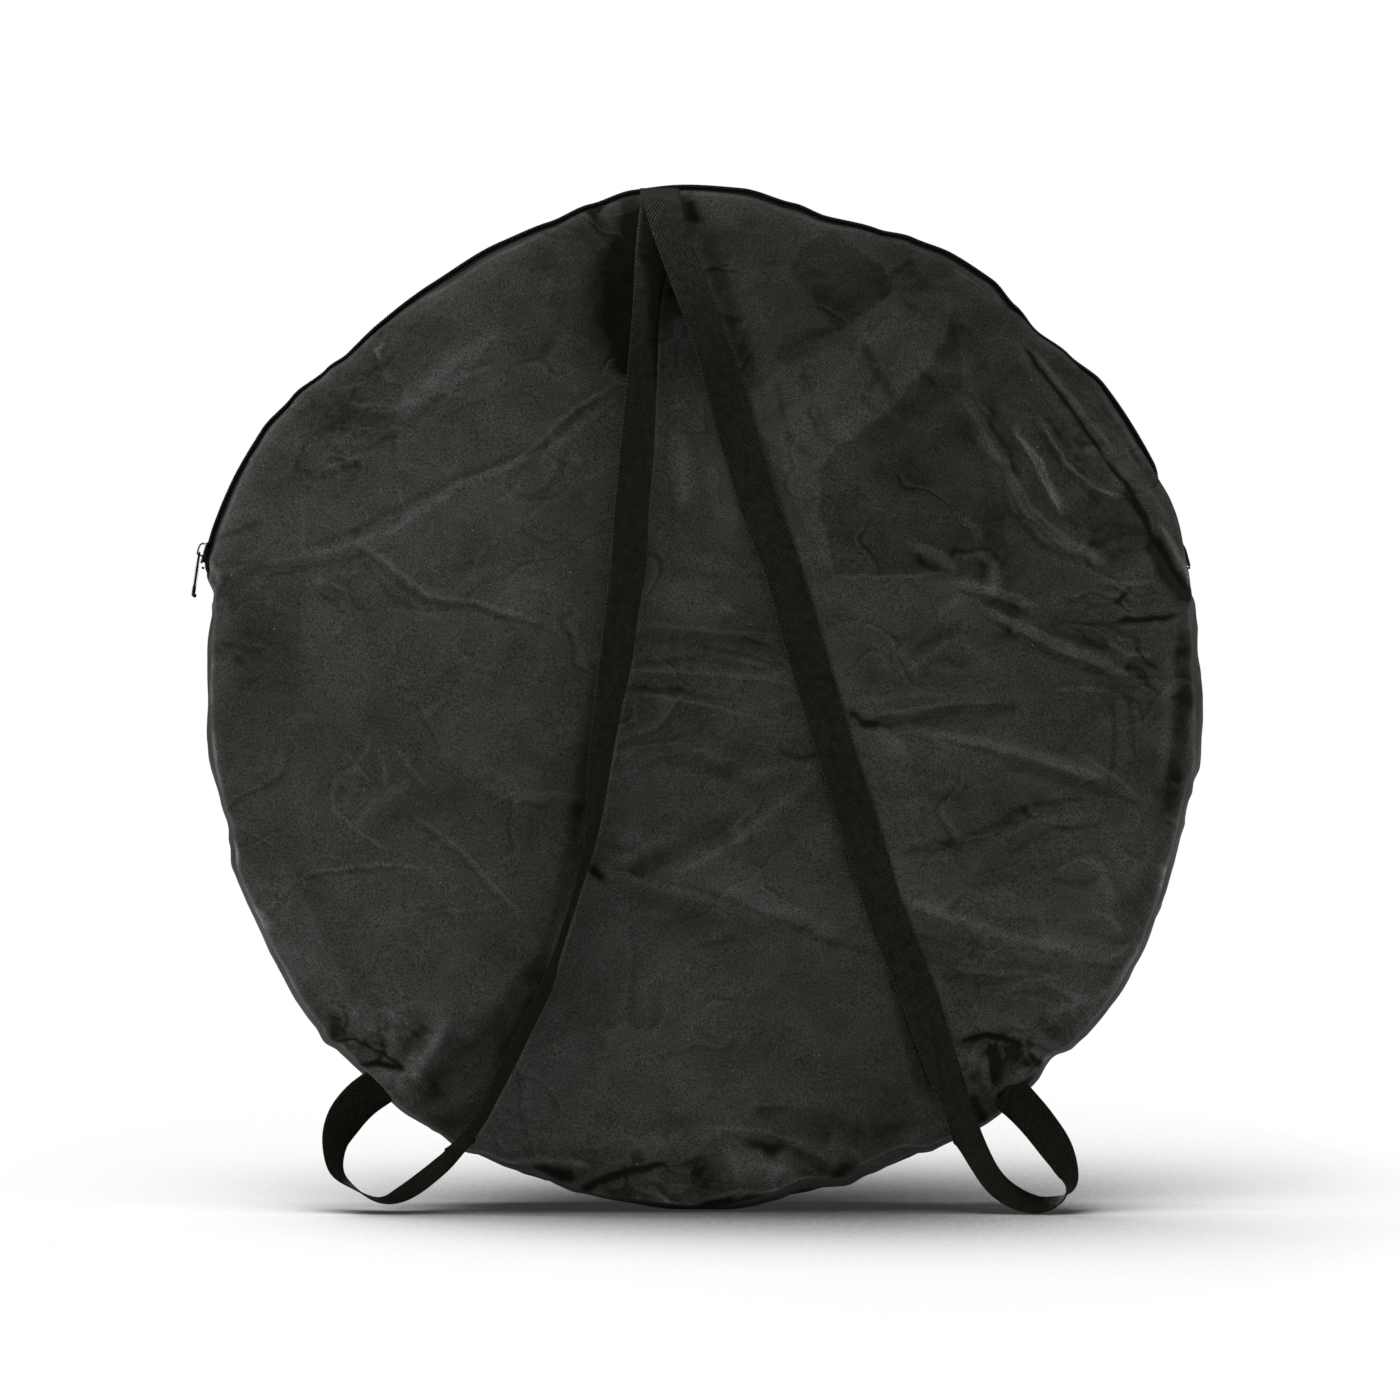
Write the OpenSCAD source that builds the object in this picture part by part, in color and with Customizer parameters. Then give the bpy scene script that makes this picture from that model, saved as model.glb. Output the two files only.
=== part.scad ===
// Roundnet set packed in its round zip bag.
// Lengths are in millimetres. The bag stands upright on the XY plane, its face looks along -Y,
// and +X is to the right of someone who looks at that face.

/* [Bag] */
// Radius of the bag at its outermost line, where the zip runs
ridge_r = 488; // [484:1:510]
// Width of the gusset between the front and the back panel
gusset_w = 100; // [99:1:120]
// How far the panel seams lie inside the outermost line
seam_drop = 9.5; // [7:0.5:12]
// How far each panel swells out beyond its seam
crown = 14; // [10:1:30]
// Thickness of the coated cloth
cloth_t = 1; // [0.8:0.1:1.5]
// Depth by which the standing bag is pressed flat underneath
base_press = 3; // [2:0.25:4]
// Play left along a seam between two pieces of cloth
seam_play = 0.2; // [0.1:0.05:0.4]

/* [Zip] */
// Angle of the zip's right end, counted from the right hand side
zip_right = 15; // [12:1:25]
// Angle of the zip's left end
zip_left = 165; // [164.8:0.1:165.6]
// Width of the closed row of teeth
coil_w = 6; // [5:0.5:7]
// Height of the closed row of teeth
coil_h = 2.6; // [2.2:0.1:2.8]
// Width of one zip tape, measured from the middle of the teeth
tape_w = 18; // [15:1:22]
// Thickness of the zip tape
tape_t = 0.8; // [0.6:0.1:1]
// Width of tape that stays bare beside the teeth
tape_bare = 10; // [7:1:11]
// Angle at which the closed slider rests
slider_at = 163.2; // [160:0.1:163.3]
// Length of the slider's body
slider_l = 20; // [16:0.5:21]
// Width of the slider's body
slider_w = 12; // [11:0.5:15]
// Thickness of each slider plate
slider_plate = 1.8; // [1.4:0.1:2.2]
// Thickness of the post that joins the slider's plates
post_w = 1; // [0.8:0.1:1.4]
// Play between the slider and the teeth
slide_play = 0.5; // [0.4:0.05:0.8]
// Length of the pull tab below its pivot
pull_l = 41; // [30:1:50]
// Width of the pull tab
pull_w = 9; // [8:0.5:12]
// Thickness of the pull tab
pull_t = 1.9; // [1.4:0.1:2]

/* [Straps] */
// Width of the webbing
strap_w = 38; // [32:1:39]
// Thickness of the webbing
strap_t = 1.6; // [1.2:0.1:1.8]
// Play between the webbing and the cloth it lies on
strap_play = 0.4; // [0.3:0.05:0.8]

/* [Rim] */
// How much smaller the rim's radius is than the bag's
rim_slack = 51.5; // [50:0.5:60]
// Outside radius of the rim tube
tube_r = 11; // [9:0.5:11.5]
// Wall of the rim and leg tubes
tube_wall = 2; // [1.5:0.1:3]
// Wall of the corner joint around a tube
socket_wall = 2.4; // [2:0.1:3]
// Length of a corner joint along the rim
socket_l = 72; // [60:1:90]
// Distance of the rim tube's middle behind the bag's middle plane
rim_back = 27; // [25:0.5:28]
// Play around pins and inside sockets
fit_play = 0.1; // [0.05:0.01:0.15]
// Play between pieces that lie against each other in the bag
lay_play = 0.3; // [0.2:0.05:0.5]

/* [Legs] */
// Distance of the leg pivots in front of the rim tube's middle
pivot_front = 26; // [25:0.5:29]
// Distance of the leg pivots inside the rim tube's middle
pivot_in = 12; // [10:0.5:16]
// Outside radius of a leg tube
leg_r = 10; // [8:0.5:10.5]
// Length of a leg from its pivot to the tube's end
leg_l = 200; // [150:1:205]
// Radius of the leg pins
pin_r = 3; // [2:0.25:3.5]
// Width of the leg lug between the ears of its corner joint
lug_w = 12; // [10:0.5:14]
// Thickness of one ear
ear_t = 4; // [3:0.5:5]

/* [Net] */
// Pitch of the net's meshes
mesh_pitch = 50; // [48:1:70]
// Width of a net strand
strand_w = 1.8; // [1:0.1:2.5]
// Width of the net's border band
band_w = 10; // [8:0.5:12]
// Thickness of the net
net_t = 1.2; // [0.8:0.1:1.5]
// Hooks on each rim tube
hooks_per_tube = 4; // [2:1:5]
// Length of a hook along the rim
hook_l = 8; // [6:1:12]

/* [Balls and pump] */
// Radius of a ball
ball_r = 45; // [40:0.5:45]
// Wall of a ball
ball_wall = 1.5; // [1:0.1:3]
// Outside radius of the pump barrel
barrel_r = 14; // [12:0.5:15]
// Length of the pump barrel
barrel_l = 150; // [140:1:170]
// Wall of the pump barrel
barrel_wall = 2; // [1.5:0.1:2.5]
// Radius of the pump rod
rod_r = 4; // [3:0.25:5]
// Radius of the pump handle
handle_r = 14; // [12:0.5:16]
// Length of the pump handle
handle_l = 48; // [44:1:60]
// Length of the ball needle that is kept in the handle
needle_l = 34; // [28:1:38]

/* [Hidden] */
$fn = 96;

cloth_colour = [0.185, 0.187, 0.177];
gusset_colour = [0.165, 0.167, 0.158];
zip_colour = [0.06, 0.06, 0.055];
web_colour = [0.09, 0.09, 0.085];
tube_colour = [0.93, 0.75, 0.12];
joint_colour = [0.1, 0.1, 0.1];
rubber_colour = [0.15, 0.15, 0.15];
steel_colour = [0.7, 0.7, 0.72];

hub_z = ridge_r - base_press;
half_w = gusset_w / 2;
seam_r = ridge_r - seam_drop;
seam_h = half_w - cloth_t - seam_play;
clear = 1;
rim_r = ridge_r - rim_slack;

// Turns a profile, drawn as [radius, distance in front of the middle plane], about the Y direction
module spin(from, to, centre = [0, hub_z]) {
    translate([centre[0], 0, centre[1]]) rotate([90, 0, 0]) rotate([0, 0, from])
        rotate_extrude(angle = to - from, $fn = 240) children();
}

// Places children at angle a and radius r: +X points outwards, +Z along the rim, Y stays Y
module on_ring(a, r, centre = [0, hub_z]) {
    translate([centre[0], 0, centre[1]]) rotate([0, -a, 0]) translate([r, 0, 0]) children();
}

// Angle that a length takes up along a circle
function arc(l, r) = l / r * 180 / PI;

// ------------------------------------------------------------------ outline of the bag

// The bag's outline below the zip, where it hangs slack: [angle, inset from ridge_r]
slack = [[165, 2], [166.4, 9], [169, 18.5], [180, 21], [190, 22], [195, 24], [201, 19], [210, 17],
    [217, 11], [226, 10], [240, 6], [248, 8], [256, 7], [263, 4], [268, 0], [276, 0], [283, 5],
    [289, 3], [297, 4], [305, 1], [313, 2], [320, -2], [330, -2], [340, 6], [350, 8], [355, 3],
    [360, 5], [366, 7], [371, 3], [374.4, 0]];
slack_last = len(slack) - 1;

// Inset eased between two listed points
function ease(a, p, q) = p[1] + (q[1] - p[1]) * (1 - cos(180 * (a - p[0]) / (q[0] - p[0]))) / 2;
function slack_at(a) = a >= slack[slack_last][0] ? slack[slack_last][1]
    : [for (i = [0 : slack_last - 1]) if (a >= slack[i][0] && a < slack[i + 1][0])
        ease(a, slack[i], slack[i + 1])][0];
function edge_r(a) =
    a < zip_right ? edge_r(a + 360) : a <= max(zip_left, slack[0][0]) ? ridge_r : ridge_r - slack_at(a);

// ------------------------------------------------------------------ panels

panel_rings = 12;
outline_steps = 144;

// Distance from the middle plane to a panel's outside, at radius r
function panel_h(r) = half_w + crown * (1 - pow(min(r / seam_r, 1), 3));

module panel_profile() {
    radii = [for (i = [0 : panel_rings]) ridge_r * i / panel_rings];
    outside = [for (r = radii) [r, panel_h(r)]];
    inside = [for (i = [panel_rings : -1 : 0]) [radii[i], panel_h(radii[i]) - cloth_t]];
    polygon(concat(outside, inside));
}

module seam_outline() {
    polygon([for (i = [0 : outline_steps - 1])
        let(a = 360 * i / outline_steps, r = edge_r(a) - seam_drop)
        [r * cos(a), r * sin(a) + hub_z]]);
}

// A crowned disc of cloth, trimmed to the line of its seam
module panel() {
    intersection() {
        spin(0, 360) panel_profile();
        rotate([90, 0, 0]) linear_extrude(height = 2 * (half_w + crown + clear), center = true)
            seam_outline();
    }
}

module front_panel() { color(cloth_colour) panel(); }

module back_panel() { color(cloth_colour) mirror([0, 1, 0]) panel(); }

// ------------------------------------------------------------------ gusset

low_steps = 84;
low_cuts = 10;
strip_cuts = 6;
butt = arc(seam_play, ridge_r);
low_from = zip_left + butt;
low_to = 360 + zip_right - butt;

// How far the gusset falls away from its ridge at distance h from the middle plane. The part
// below the zip carries the bag and is squarer than the part that the zip bends.
function low_fall(h) = seam_drop * pow(abs(h) / half_w, 6);
function top_fall(h) = seam_drop * pow(abs(h) / half_w, 2);

function low_section(a) =
    let(hs = [for (i = [0 : low_cuts]) seam_h * (2 * i / low_cuts - 1)])
    concat([for (h = hs) [edge_r(a) - low_fall(h), h]],
        [for (i = [low_cuts : -1 : 0]) [edge_r(a) - low_fall(hs[i]) - cloth_t, hs[i]]]);

// Skins a closed band through rings of points that are listed the same way round. The second
// half of a ring runs back along the first, so the ends close as rows of quads, and both skins
// are split along the same diagonals to keep the band's thickness.
module loft(rings) {
    n = len(rings[0]);
    last = (len(rings) - 1) * n;
    sides = [for (i = [0 : n : last - n], j = [0 : n - 1]) let(k = (j + 1) % n)
        each j < n / 2 ? [[i + j, i + k, i + n + k], [i + j, i + n + k, i + n + j]]
            : [[i + j, i + k, i + n + j], [i + k, i + n + k, i + n + j]]];
    ends = [for (j = [0 : n / 2 - 2]) let(k = n - 1 - j)
        each [[j, k, k - 1], [j, k - 1, j + 1],
            [last + j, last + k - 1, last + k], [last + j, last + j + 1, last + k - 1]]];
    polyhedron(points = [for (ring = rings, p = ring) p], faces = concat(sides, ends));
}

// One ring of the gusset; the cloth under the standing bag is pressed flat on the ground
function low_ring(a) = let(section = low_section(a), n = len(section))
    [for (i = [0 : n - 1]) let(r = section[i][0])
        [r * cos(a), -section[i][1], max(hub_z + r * sin(a), i < n / 2 ? 0 : cloth_t)]];

module lower_gusset() {
    color(gusset_colour)
        loft([for (i = [0 : low_steps]) low_ring(low_from + (low_to - low_from) * i / low_steps)]);
}

// A strip of the upper gusset between two distances from the middle plane
module strip_profile(h_from, h_to, sink, t) {
    hs = [for (i = [0 : strip_cuts]) h_from + (h_to - h_from) * i / strip_cuts];
    outside = [for (h = hs) [ridge_r - sink - top_fall(h), h]];
    inside = [for (i = [strip_cuts : -1 : 0]) outside[i] - [t, 0]];
    polygon(concat(outside, inside));
}

tape_from = coil_w / 2 + seam_play;

module upper_gusset() {
    spin(zip_right, zip_left) strip_profile(tape_from + tape_bare, seam_h, 0, cloth_t);
}

module upper_gusset_front() { color(gusset_colour) upper_gusset(); }

module upper_gusset_back() { color(gusset_colour) mirror([0, 1, 0]) upper_gusset(); }

// ------------------------------------------------------------------ zip

tape_sink = cloth_t + seam_play;
teeth_r = ridge_r - tape_sink - tape_t;
teeth_split = post_w / 2 + lay_play;
stop_l = 2;
teeth_from = zip_right + arc(stop_l + 2 * seam_play, teeth_r);
teeth_to = zip_left - arc(stop_l + 2 * seam_play, teeth_r);

module zip_tape() {
    spin(zip_right, zip_left) strip_profile(tape_from, tape_w, tape_sink, tape_t);
}

module zip_tape_front() { color(zip_colour) zip_tape(); }

module zip_tape_back() { color(zip_colour) mirror([0, 1, 0]) zip_tape(); }

// One side of the closed row of teeth: a low dome beside the slot that the slider's post runs in
module zip_teeth() {
    spin(teeth_from, teeth_to) translate([teeth_r, 0]) polygon([[0, teeth_split], [0, coil_w / 2],
        [coil_h * 0.45, coil_w / 2], [coil_h * 0.8, coil_w * 0.42],
        [coil_h, coil_w * 0.3], [coil_h, teeth_split]]);
}

module zip_teeth_front() { color(joint_colour) zip_teeth(); }

module zip_teeth_back() { color(joint_colour) mirror([0, 1, 0]) zip_teeth(); }

module zip_stop() { translate([0, -coil_w / 2, -stop_l / 2]) cube([coil_h, coil_w, stop_l]); }

module zip_end_stops() {
    off = arc(stop_l / 2 + seam_play, teeth_r);
    color(joint_colour) {
        on_ring(teeth_to + off, teeth_r) zip_stop();
        on_ring(teeth_from - off, teeth_r) zip_stop();
    }
}

// The slider's own frame is that of on_ring: X outwards, Y across the tape, Z along the zip
plate_in = -slide_play - slider_plate;
plate_out = coil_h + slide_play;
slider_top = plate_out + slider_plate;
bridge_w = 3;
bridge_bar = 1.3;
pivot_up = 3.8;
pivot_along = 1.6;
bar_r = 0.9;
pull_lean = 8.5;

// A slider plate seen from outside: broad at the two-way end, drawn in towards the other
module plate_outline() {
    intersection() {
        square([slider_w, slider_l], center = true);
        union() {
            translate([0, slider_l / 2 - slider_w / 2]) circle(r = slider_w * 0.62);
            square([slider_w * 0.84, slider_l * 0.6], center = true);
            translate([0, slider_w * 0.46 - slider_l / 2]) circle(r = slider_w * 0.46);
        }
    }
}

module plate(at) {
    translate([at, 0, 0]) rotate([0, -90, 180]) rotate([0, 0, 90]) linear_extrude(height = slider_plate)
        plate_outline();
}

// The flanges that keep the teeth in, which stop short of the tape
module flange() {
    from_y = coil_w / 2 + slide_play;
    from_x = tape_t + slide_play;
    translate([from_x, from_y, -slider_l * 0.3])
        cube([plate_out - from_x + slide_play, slider_w * 0.42 - from_y, slider_l * 0.6]);
}

module slider_post() {
    translate([plate_in + slider_plate / 2, -post_w / 2, slider_l / 2 - 4.5])
        cube([plate_out - plate_in, post_w, 3.5]);
}

// An open hook of flat bar, drawn as [above the plate, along the zip], that holds the pull tab.
// Its corner goes round the pull's pivot bar with some play.
module bridge() {
    room = bar_r + lay_play;
    rise = pivot_up + room + bridge_bar;
    foot = pivot_along + room;
    translate([slider_top, bridge_w / 2, 0]) rotate([90, 0, 0]) linear_extrude(height = bridge_w)
        polygon([[-slider_plate / 2, foot], [-slider_plate / 2, foot + bridge_bar],
            [pivot_up + room * 0.6, foot + bridge_bar], [rise, pivot_along + room * 0.5],
            [rise, -4.4], [rise * 0.9, -7], [rise * 0.62, -8.6], [1, -9],
            [1, -9 + bridge_bar], [rise * 0.55, -8.5 + bridge_bar], [rise * 0.72, -7 + bridge_bar * 0.8],
            [rise - bridge_bar, -4.2], [rise - bridge_bar, pivot_along + room * 0.5],
            [pivot_up + room * 0.5, foot]]);
}

module zip_slider() {
    color(joint_colour) on_ring(slider_at, teeth_r) {
        plate(plate_in);
        plate(plate_out);
        flange();
        mirror([0, 1, 0]) flange();
        slider_post();
        bridge();
    }
}

// The pull tab without its pivot bar: two arms beside the bridge, then a tongue with a round end
module pull_outline() {
    window = bridge_w + 1.2;
    difference() {
        union() {
            translate([-pull_w * 0.4, 0]) square([pull_w * 0.8, pull_l * 0.5]);
            translate([-pull_w / 2, pull_l * 0.3]) square([pull_w, pull_l * 0.7 - pull_w / 2]);
            translate([0, pull_l - pull_w / 2]) circle(r = pull_w / 2);
        }
        translate([-window / 2, -clear]) square([window, 5.5 + clear]);
    }
}

// Drawn with its pivot at the origin, hanging along +Z
module pull_tab() {
    rotate([90, 0, 90]) linear_extrude(height = pull_t, center = true) pull_outline();
    rotate([90, 0, 0]) cylinder(r = bar_r, h = pull_w * 0.8, center = true);
    translate([0, 0, pull_l - pull_w / 2]) rotate([0, 90, 0])
        difference() {
            cylinder(r = pull_w / 2, h = pull_t + 0.8, center = true);
            cylinder(r = pull_w / 2 - 1.5, h = 2 * pull_t, center = true);
        }
}

module zip_pull() {
    color(joint_colour) on_ring(slider_at, teeth_r)
        translate([slider_top + pivot_up, 0, pivot_along]) rotate([0, -pull_lean, 0]) pull_tab();
}

// ------------------------------------------------------------------ straps

// The webbing's route down the front, into the loop beside the bag's foot and back to its seam:
// [x, z from the bag's middle, tilt of the width about the route, stand-off from the cloth
// beyond strap_play], for a bag of the radius route_r
left_route = [[-34, 474, 0, 0.6], [-37, 452, 8, 0.3], [-39, 432, 26, 0], [-48, 366, 48, 0],
    [-56, 240, 31, 0], [-64, 134, 24, 0], [-76, 46, 34, 0], [-91, -54, 55, 0], [-101, -134, 74, 0],
    [-116, -186, 80, 0], [-157, -298, 70, 0], [-192, -368, 69, 0], [-226, -422, 66, 0],
    [-277, -466, 62, 0], [-302, -472, 77, -1], [-329, -460, 90, -4], [-343, -444, 109, -5],
    [-344, -418, 131, -5], [-335, -396, 158, -4], [-302, -366, 180, -3.7]];
right_route = [[-35, 474, 4, 4.4], [-24, 454, 8, 9], [-16, 432, 8, 9], [-4, 404, 8, 4.4],
    [12, 356, 20, 0], [28, 306, 5, 0], [62, 186, 0, 0.2], [82, 128, 20, 0], [120, -2, 8, 0],
    [154, -110, 4, 0], [174, -180, 14, 0], [212, -278, 20, 0], [247, -378, 41, 0],
    [273, -438, 53, 0], [304, -470, 60, 0], [325, -474, 68, 0], [343, -472, 80, -2],
    [355, -458, 115, -4], [341, -422, 146, -5], [303, -376, 180, -3.7]];
strap_steps = 4;
strap_cuts = 4;
route_r = 488;

function between(a, b, c, d, t) =
    (2 * b + (c - a) * t + (2 * a - 5 * b + 4 * c - d) * t * t + (3 * b - a - 3 * c + d) * t * t * t) / 2;
function smooth(p) = let(last = len(p) - 1) concat(
    [for (i = [0 : last - 1], s = [0 : strap_steps - 1])
        between(p[max(i - 1, 0)], p[i], p[i + 1], p[min(i + 2, last)], s / strap_steps)],
    [p[last]]);

// Middle of the webbing in space, for one point of the smoothed route
function lay(p) = let(x = p[0] * ridge_r / route_r, z = p[1] * ridge_r / route_r)
    [x, -panel_h(norm([x, z])) - strap_play - strap_t / 2 - strap_w / 2 * abs(sin(p[2])) - p[3],
        hub_z + z];
function unit(v) = v / norm(v);

// A section of the webbing across direction d, with its width tilted by the given angle
function web_section(m, d, tilt) =
    let(flat = unit([-d[2], 0, d[0]]), w = flat * cos(tilt) + [0, sin(tilt), 0],
        wide = unit(w - d * (w * d)) * strap_w, thick = unit(cross(wide, d)) * strap_t / 2)
    concat([for (i = [0 : strap_cuts]) m + wide * (i / strap_cuts - 0.5) - thick],
        [for (i = [strap_cuts : -1 : 0]) m + wide * (i / strap_cuts - 0.5) + thick]);

module webbing(route) {
    p = smooth(route);
    m = [for (q = p) lay(q)];
    last = len(m) - 1;
    loft([for (i = [0 : last]) web_section(m[i], unit(m[min(i + 1, last)] - m[max(i - 1, 0)]), p[i][2])]);
}

module strap_left() { color(web_colour) webbing(left_route); }

module strap_right() { color(web_colour) webbing(right_route); }

// ------------------------------------------------------------------ rim

joint_count = 5;
joint_step = 360 / joint_count;
function joint_at(i) = 90 + joint_step * (i - 1);
socket_r = tube_r + socket_wall;
rim_x = 4;

// The clips that hold the net on the rim; each has a tongue behind the net
net_gap = 0.4;
tongue_y = tube_r + net_gap + net_t + lay_play;
tongue_t = 2;
clip_r = tongue_y + tongue_t / 2;
function hook_at(i, j) = joint_at(i) + joint_step * (j + 0.5) / hooks_per_tube;

// The rim has sunk onto the gusset: the height at which it clears every point of the cloth below
sunk_fall = cloth_t + low_fall(rim_back + tube_r / 3) + lay_play;
function height_over(a, r) = let(e = edge_r(a) - sunk_fall)
    hub_z + e * sin(a) + sqrt(pow(rim_r + r, 2) - pow(e * cos(a) - rim_x, 2));
low_hooks = [for (i = [2 : 4], j = [0 : hooks_per_tube - 1], side = [-1, 1]) hook_at(i, j) + side];
low_joints = [for (i = [3, 4], side = [-4, 0, 4]) joint_at(i) + side];
rim_z = max([for (a = [236 : 1 : 304]) height_over(a, tube_r),
    for (a = low_hooks) if (abs(a - 270) < 50) height_over(a, clip_r),
    for (a = low_joints) height_over(a, socket_r)]);
rim = [rim_x, rim_z];
web_l = 8;

module ring_part(from, to) { spin(from, to, rim) translate([rim_r, -rim_back]) children(); }

// One fifth of the rim, from the web of one corner joint to the web of the next
module rim_tube(i) {
    short = arc(web_l / 2 + lay_play, rim_r);
    color(tube_colour) ring_part(joint_at(i) + short, joint_at(i + 1) - short) difference() {
        circle(r = tube_r);
        circle(r = tube_r - tube_wall);
    }
}

pivot_reach = sqrt(pivot_front * pivot_front + pivot_in * pivot_in);
eye_r = 8;
pivot_turn = atan2(-pivot_front, -pivot_in);

module ear() {
    linear_extrude(height = ear_t) difference() {
        union() {
            circle(r = socket_r);
            rotate(pivot_turn) translate([0, -eye_r]) square([pivot_reach, 2 * eye_r]);
            translate([-pivot_in, -pivot_front]) circle(r = eye_r);
        }
        circle(r = tube_r + 3 * fit_play);
        translate([-pivot_in, -pivot_front]) circle(r = pin_r + fit_play);
    }
}

// Two sockets with a web between them, and a fork on the underside that carries a leg
module corner_joint(i) {
    a = joint_at(i);
    half = arc(socket_l / 2, rim_r);
    web = arc(web_l / 2, rim_r);
    color(joint_colour) union() {
        ring_part(a - half, a + half) difference() {
            circle(r = socket_r);
            circle(r = tube_r + fit_play);
        }
        ring_part(a - web, a + web) circle(r = tube_r + socket_wall / 2);
        on_ring(a, rim_r, rim) translate([0, rim_back, 0]) {
            translate([0, 0, lug_w / 2]) ear();
            translate([0, 0, -lug_w / 2 - ear_t]) ear();
        }
    }
}

// Places children at a leg's pivot: -X runs along the folded leg, Z along the pin
module at_pivot(i) {
    on_ring(joint_at(i), rim_r - pivot_in, rim) translate([0, rim_back - pivot_front, 0]) children();
}

module leg_pins() {
    head_t = 1.5;
    grip = lug_w / 2 + ear_t;
    color(steel_colour) for (i = [1 : joint_count]) at_pivot(i) {
        cylinder(r = pin_r, h = 2 * grip + 2 * fit_play, center = true);
        for (side = [-1, 1]) translate([0, 0, side * (grip + fit_play + head_t / 2)])
            cylinder(r = pin_r + 1.5, h = head_t, center = true);
    }
}

// ------------------------------------------------------------------ legs

lug_collar_at = 14;
lug_collar_t = 3;
spigot_l = 26;

module leg_lug(i) {
    neck_r = lug_w / 2 - 2 * fit_play;
    color(joint_colour) at_pivot(i) difference() {
        union() {
            cylinder(r = eye_r, h = lug_w - 4 * fit_play, center = true);
            rotate([0, -90, 0]) {
                cylinder(r = neck_r, h = lug_collar_at);
                translate([0, 0, lug_collar_at - lug_collar_t]) cylinder(r = leg_r, h = lug_collar_t);
                translate([0, 0, lug_collar_at - lug_collar_t])
                    cylinder(r = leg_r - tube_wall - fit_play, h = lug_collar_t + spigot_l);
            }
        }
        cylinder(r = pin_r + fit_play, h = lug_w + clear, center = true);
    }
}

module leg_tube(i) {
    color(tube_colour) at_pivot(i) rotate([0, -90, 0]) translate([0, 0, lug_collar_at + fit_play])
        difference() {
            cylinder(r = leg_r, h = leg_l - lug_collar_at - fit_play);
            translate([0, 0, -clear]) cylinder(r = leg_r - tube_wall, h = leg_l + 2 * clear);
        }
}

foot_wall = 2;
foot_l = 22;
foot_floor = 5;

// A rubber cap with a rounded tread and two gripping ribs
module leg_foot(i) {
    out = leg_r + foot_wall;
    color(rubber_colour) at_pivot(i) rotate([0, -90, 0]) translate([0, 0, leg_l + foot_floor])
        rotate([180, 0, 0]) rotate_extrude() polygon([[0, 0], [out - 3, 0], [out - 1, 0.8],
            [out, 3], [out, 8], [out + 0.6, 8.6], [out + 0.6, 10], [out, 10.6], [out, 13],
            [out + 0.6, 13.6], [out + 0.6, 15], [out, 15.6], [out, foot_l - 1],
            [out - 0.5, foot_l], [leg_r + fit_play, foot_l],
            [leg_r + fit_play, foot_floor - fit_play], [0, foot_floor - fit_play]]);
}

// ------------------------------------------------------------------ net

net_front = rim_back + tube_r + net_gap;
band_out = rim_r - tube_r - 1.5;
band_mid = band_out - band_w / 2;
eyelet_r = 1.9;
strands = ceil(band_out / mesh_pitch);

module net() {
    color([0.95, 0.95, 0.9]) translate([rim[0], net_front + net_t, rim[1]]) rotate([90, 0, 0])
        linear_extrude(height = net_t) union() {
            intersection() {
                circle(r = band_mid - eyelet_r - 1);
                union() for (i = [-strands : strands], turn = [0, 90]) rotate(turn)
                    translate([(i + 0.5) * mesh_pitch - strand_w / 2, -band_out])
                        square([strand_w, 2 * band_out]);
            }
            difference() {
                circle(r = band_out);
                circle(r = band_out - band_w);
                for (i = [1 : joint_count], j = [0 : hooks_per_tube - 1])
                    rotate(hook_at(i, j)) translate([band_mid, 0]) circle(r = eyelet_r, $fn = 24);
            }
        }
}

// A clip round the rim tube whose tongue holds an eyelet of the net's border on a peg
module net_hook() {
    reach = band_w / 2 + 3;
    translate([0, rim_back, 0]) {
        translate([0, 0, -hook_l / 2]) linear_extrude(height = hook_l) {
            difference() {
                circle(r = clip_r);
                circle(r = tube_r + 1.5 * fit_play);
                translate([-0.6 * tube_r, -2 * tube_r]) square([1.2 * tube_r, 1.5 * tube_r]);
            }
            translate([band_mid - rim_r - reach + 3, tongue_y])
                square([rim_r - band_mid + reach, tongue_t]);
        }
        translate([band_mid - rim_r, tongue_y + tongue_t / 2, 0]) rotate([90, 0, 0])
            cylinder(r = eyelet_r - 0.4, h = tongue_t / 2 + lay_play + net_t + 0.3);
    }
}

module net_hooks() {
    color(joint_colour) for (i = [1 : joint_count], j = [0 : hooks_per_tube - 1])
        on_ring(hook_at(i, j), rim_r, rim) net_hook();
}

// ------------------------------------------------------------------ balls

// The balls lie side by side on the rim, just in front of the net
ball_y = net_front - ball_r - lay_play;
ball_ring = rim_r - sqrt(pow(ball_r + tube_r + lay_play, 2) - pow(rim_back - ball_y, 2));
ball_step = 2 * asin((ball_r + lay_play / 2) / ball_ring);

module ball(i) {
    color([0.98, 0.85, 0.1]) on_ring(270 + ball_step * (i - 2), ball_ring, rim)
        translate([0, ball_y, 0]) difference() {
            sphere(r = ball_r);
            sphere(r = ball_r - ball_wall);
        }
}

// ------------------------------------------------------------------ pump

// The pump stands on the middle ball and leans on the net
pump_y = net_front - barrel_r - lay_play;
pump_off = max(pump_y - barrel_r - ball_y, 0);
pump_z = rim_z - ball_ring + sqrt(pow(ball_r, 2) - pow(pump_off, 2)) + lay_play;
cap_t = 6;
collar_t = 10;
piston_t = 8;

module in_pump() { translate([rim_x, pump_y, pump_z]) children(); }

module pump_barrel() {
    color([0.85, 0.2, 0.15]) in_pump() difference() {
        cylinder(r = barrel_r, h = barrel_l);
        translate([0, 0, cap_t]) cylinder(r = barrel_r - barrel_wall, h = barrel_l);
        translate([0, 0, -clear]) cylinder(r = 2, h = cap_t + 2 * clear);
    }
}

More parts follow.
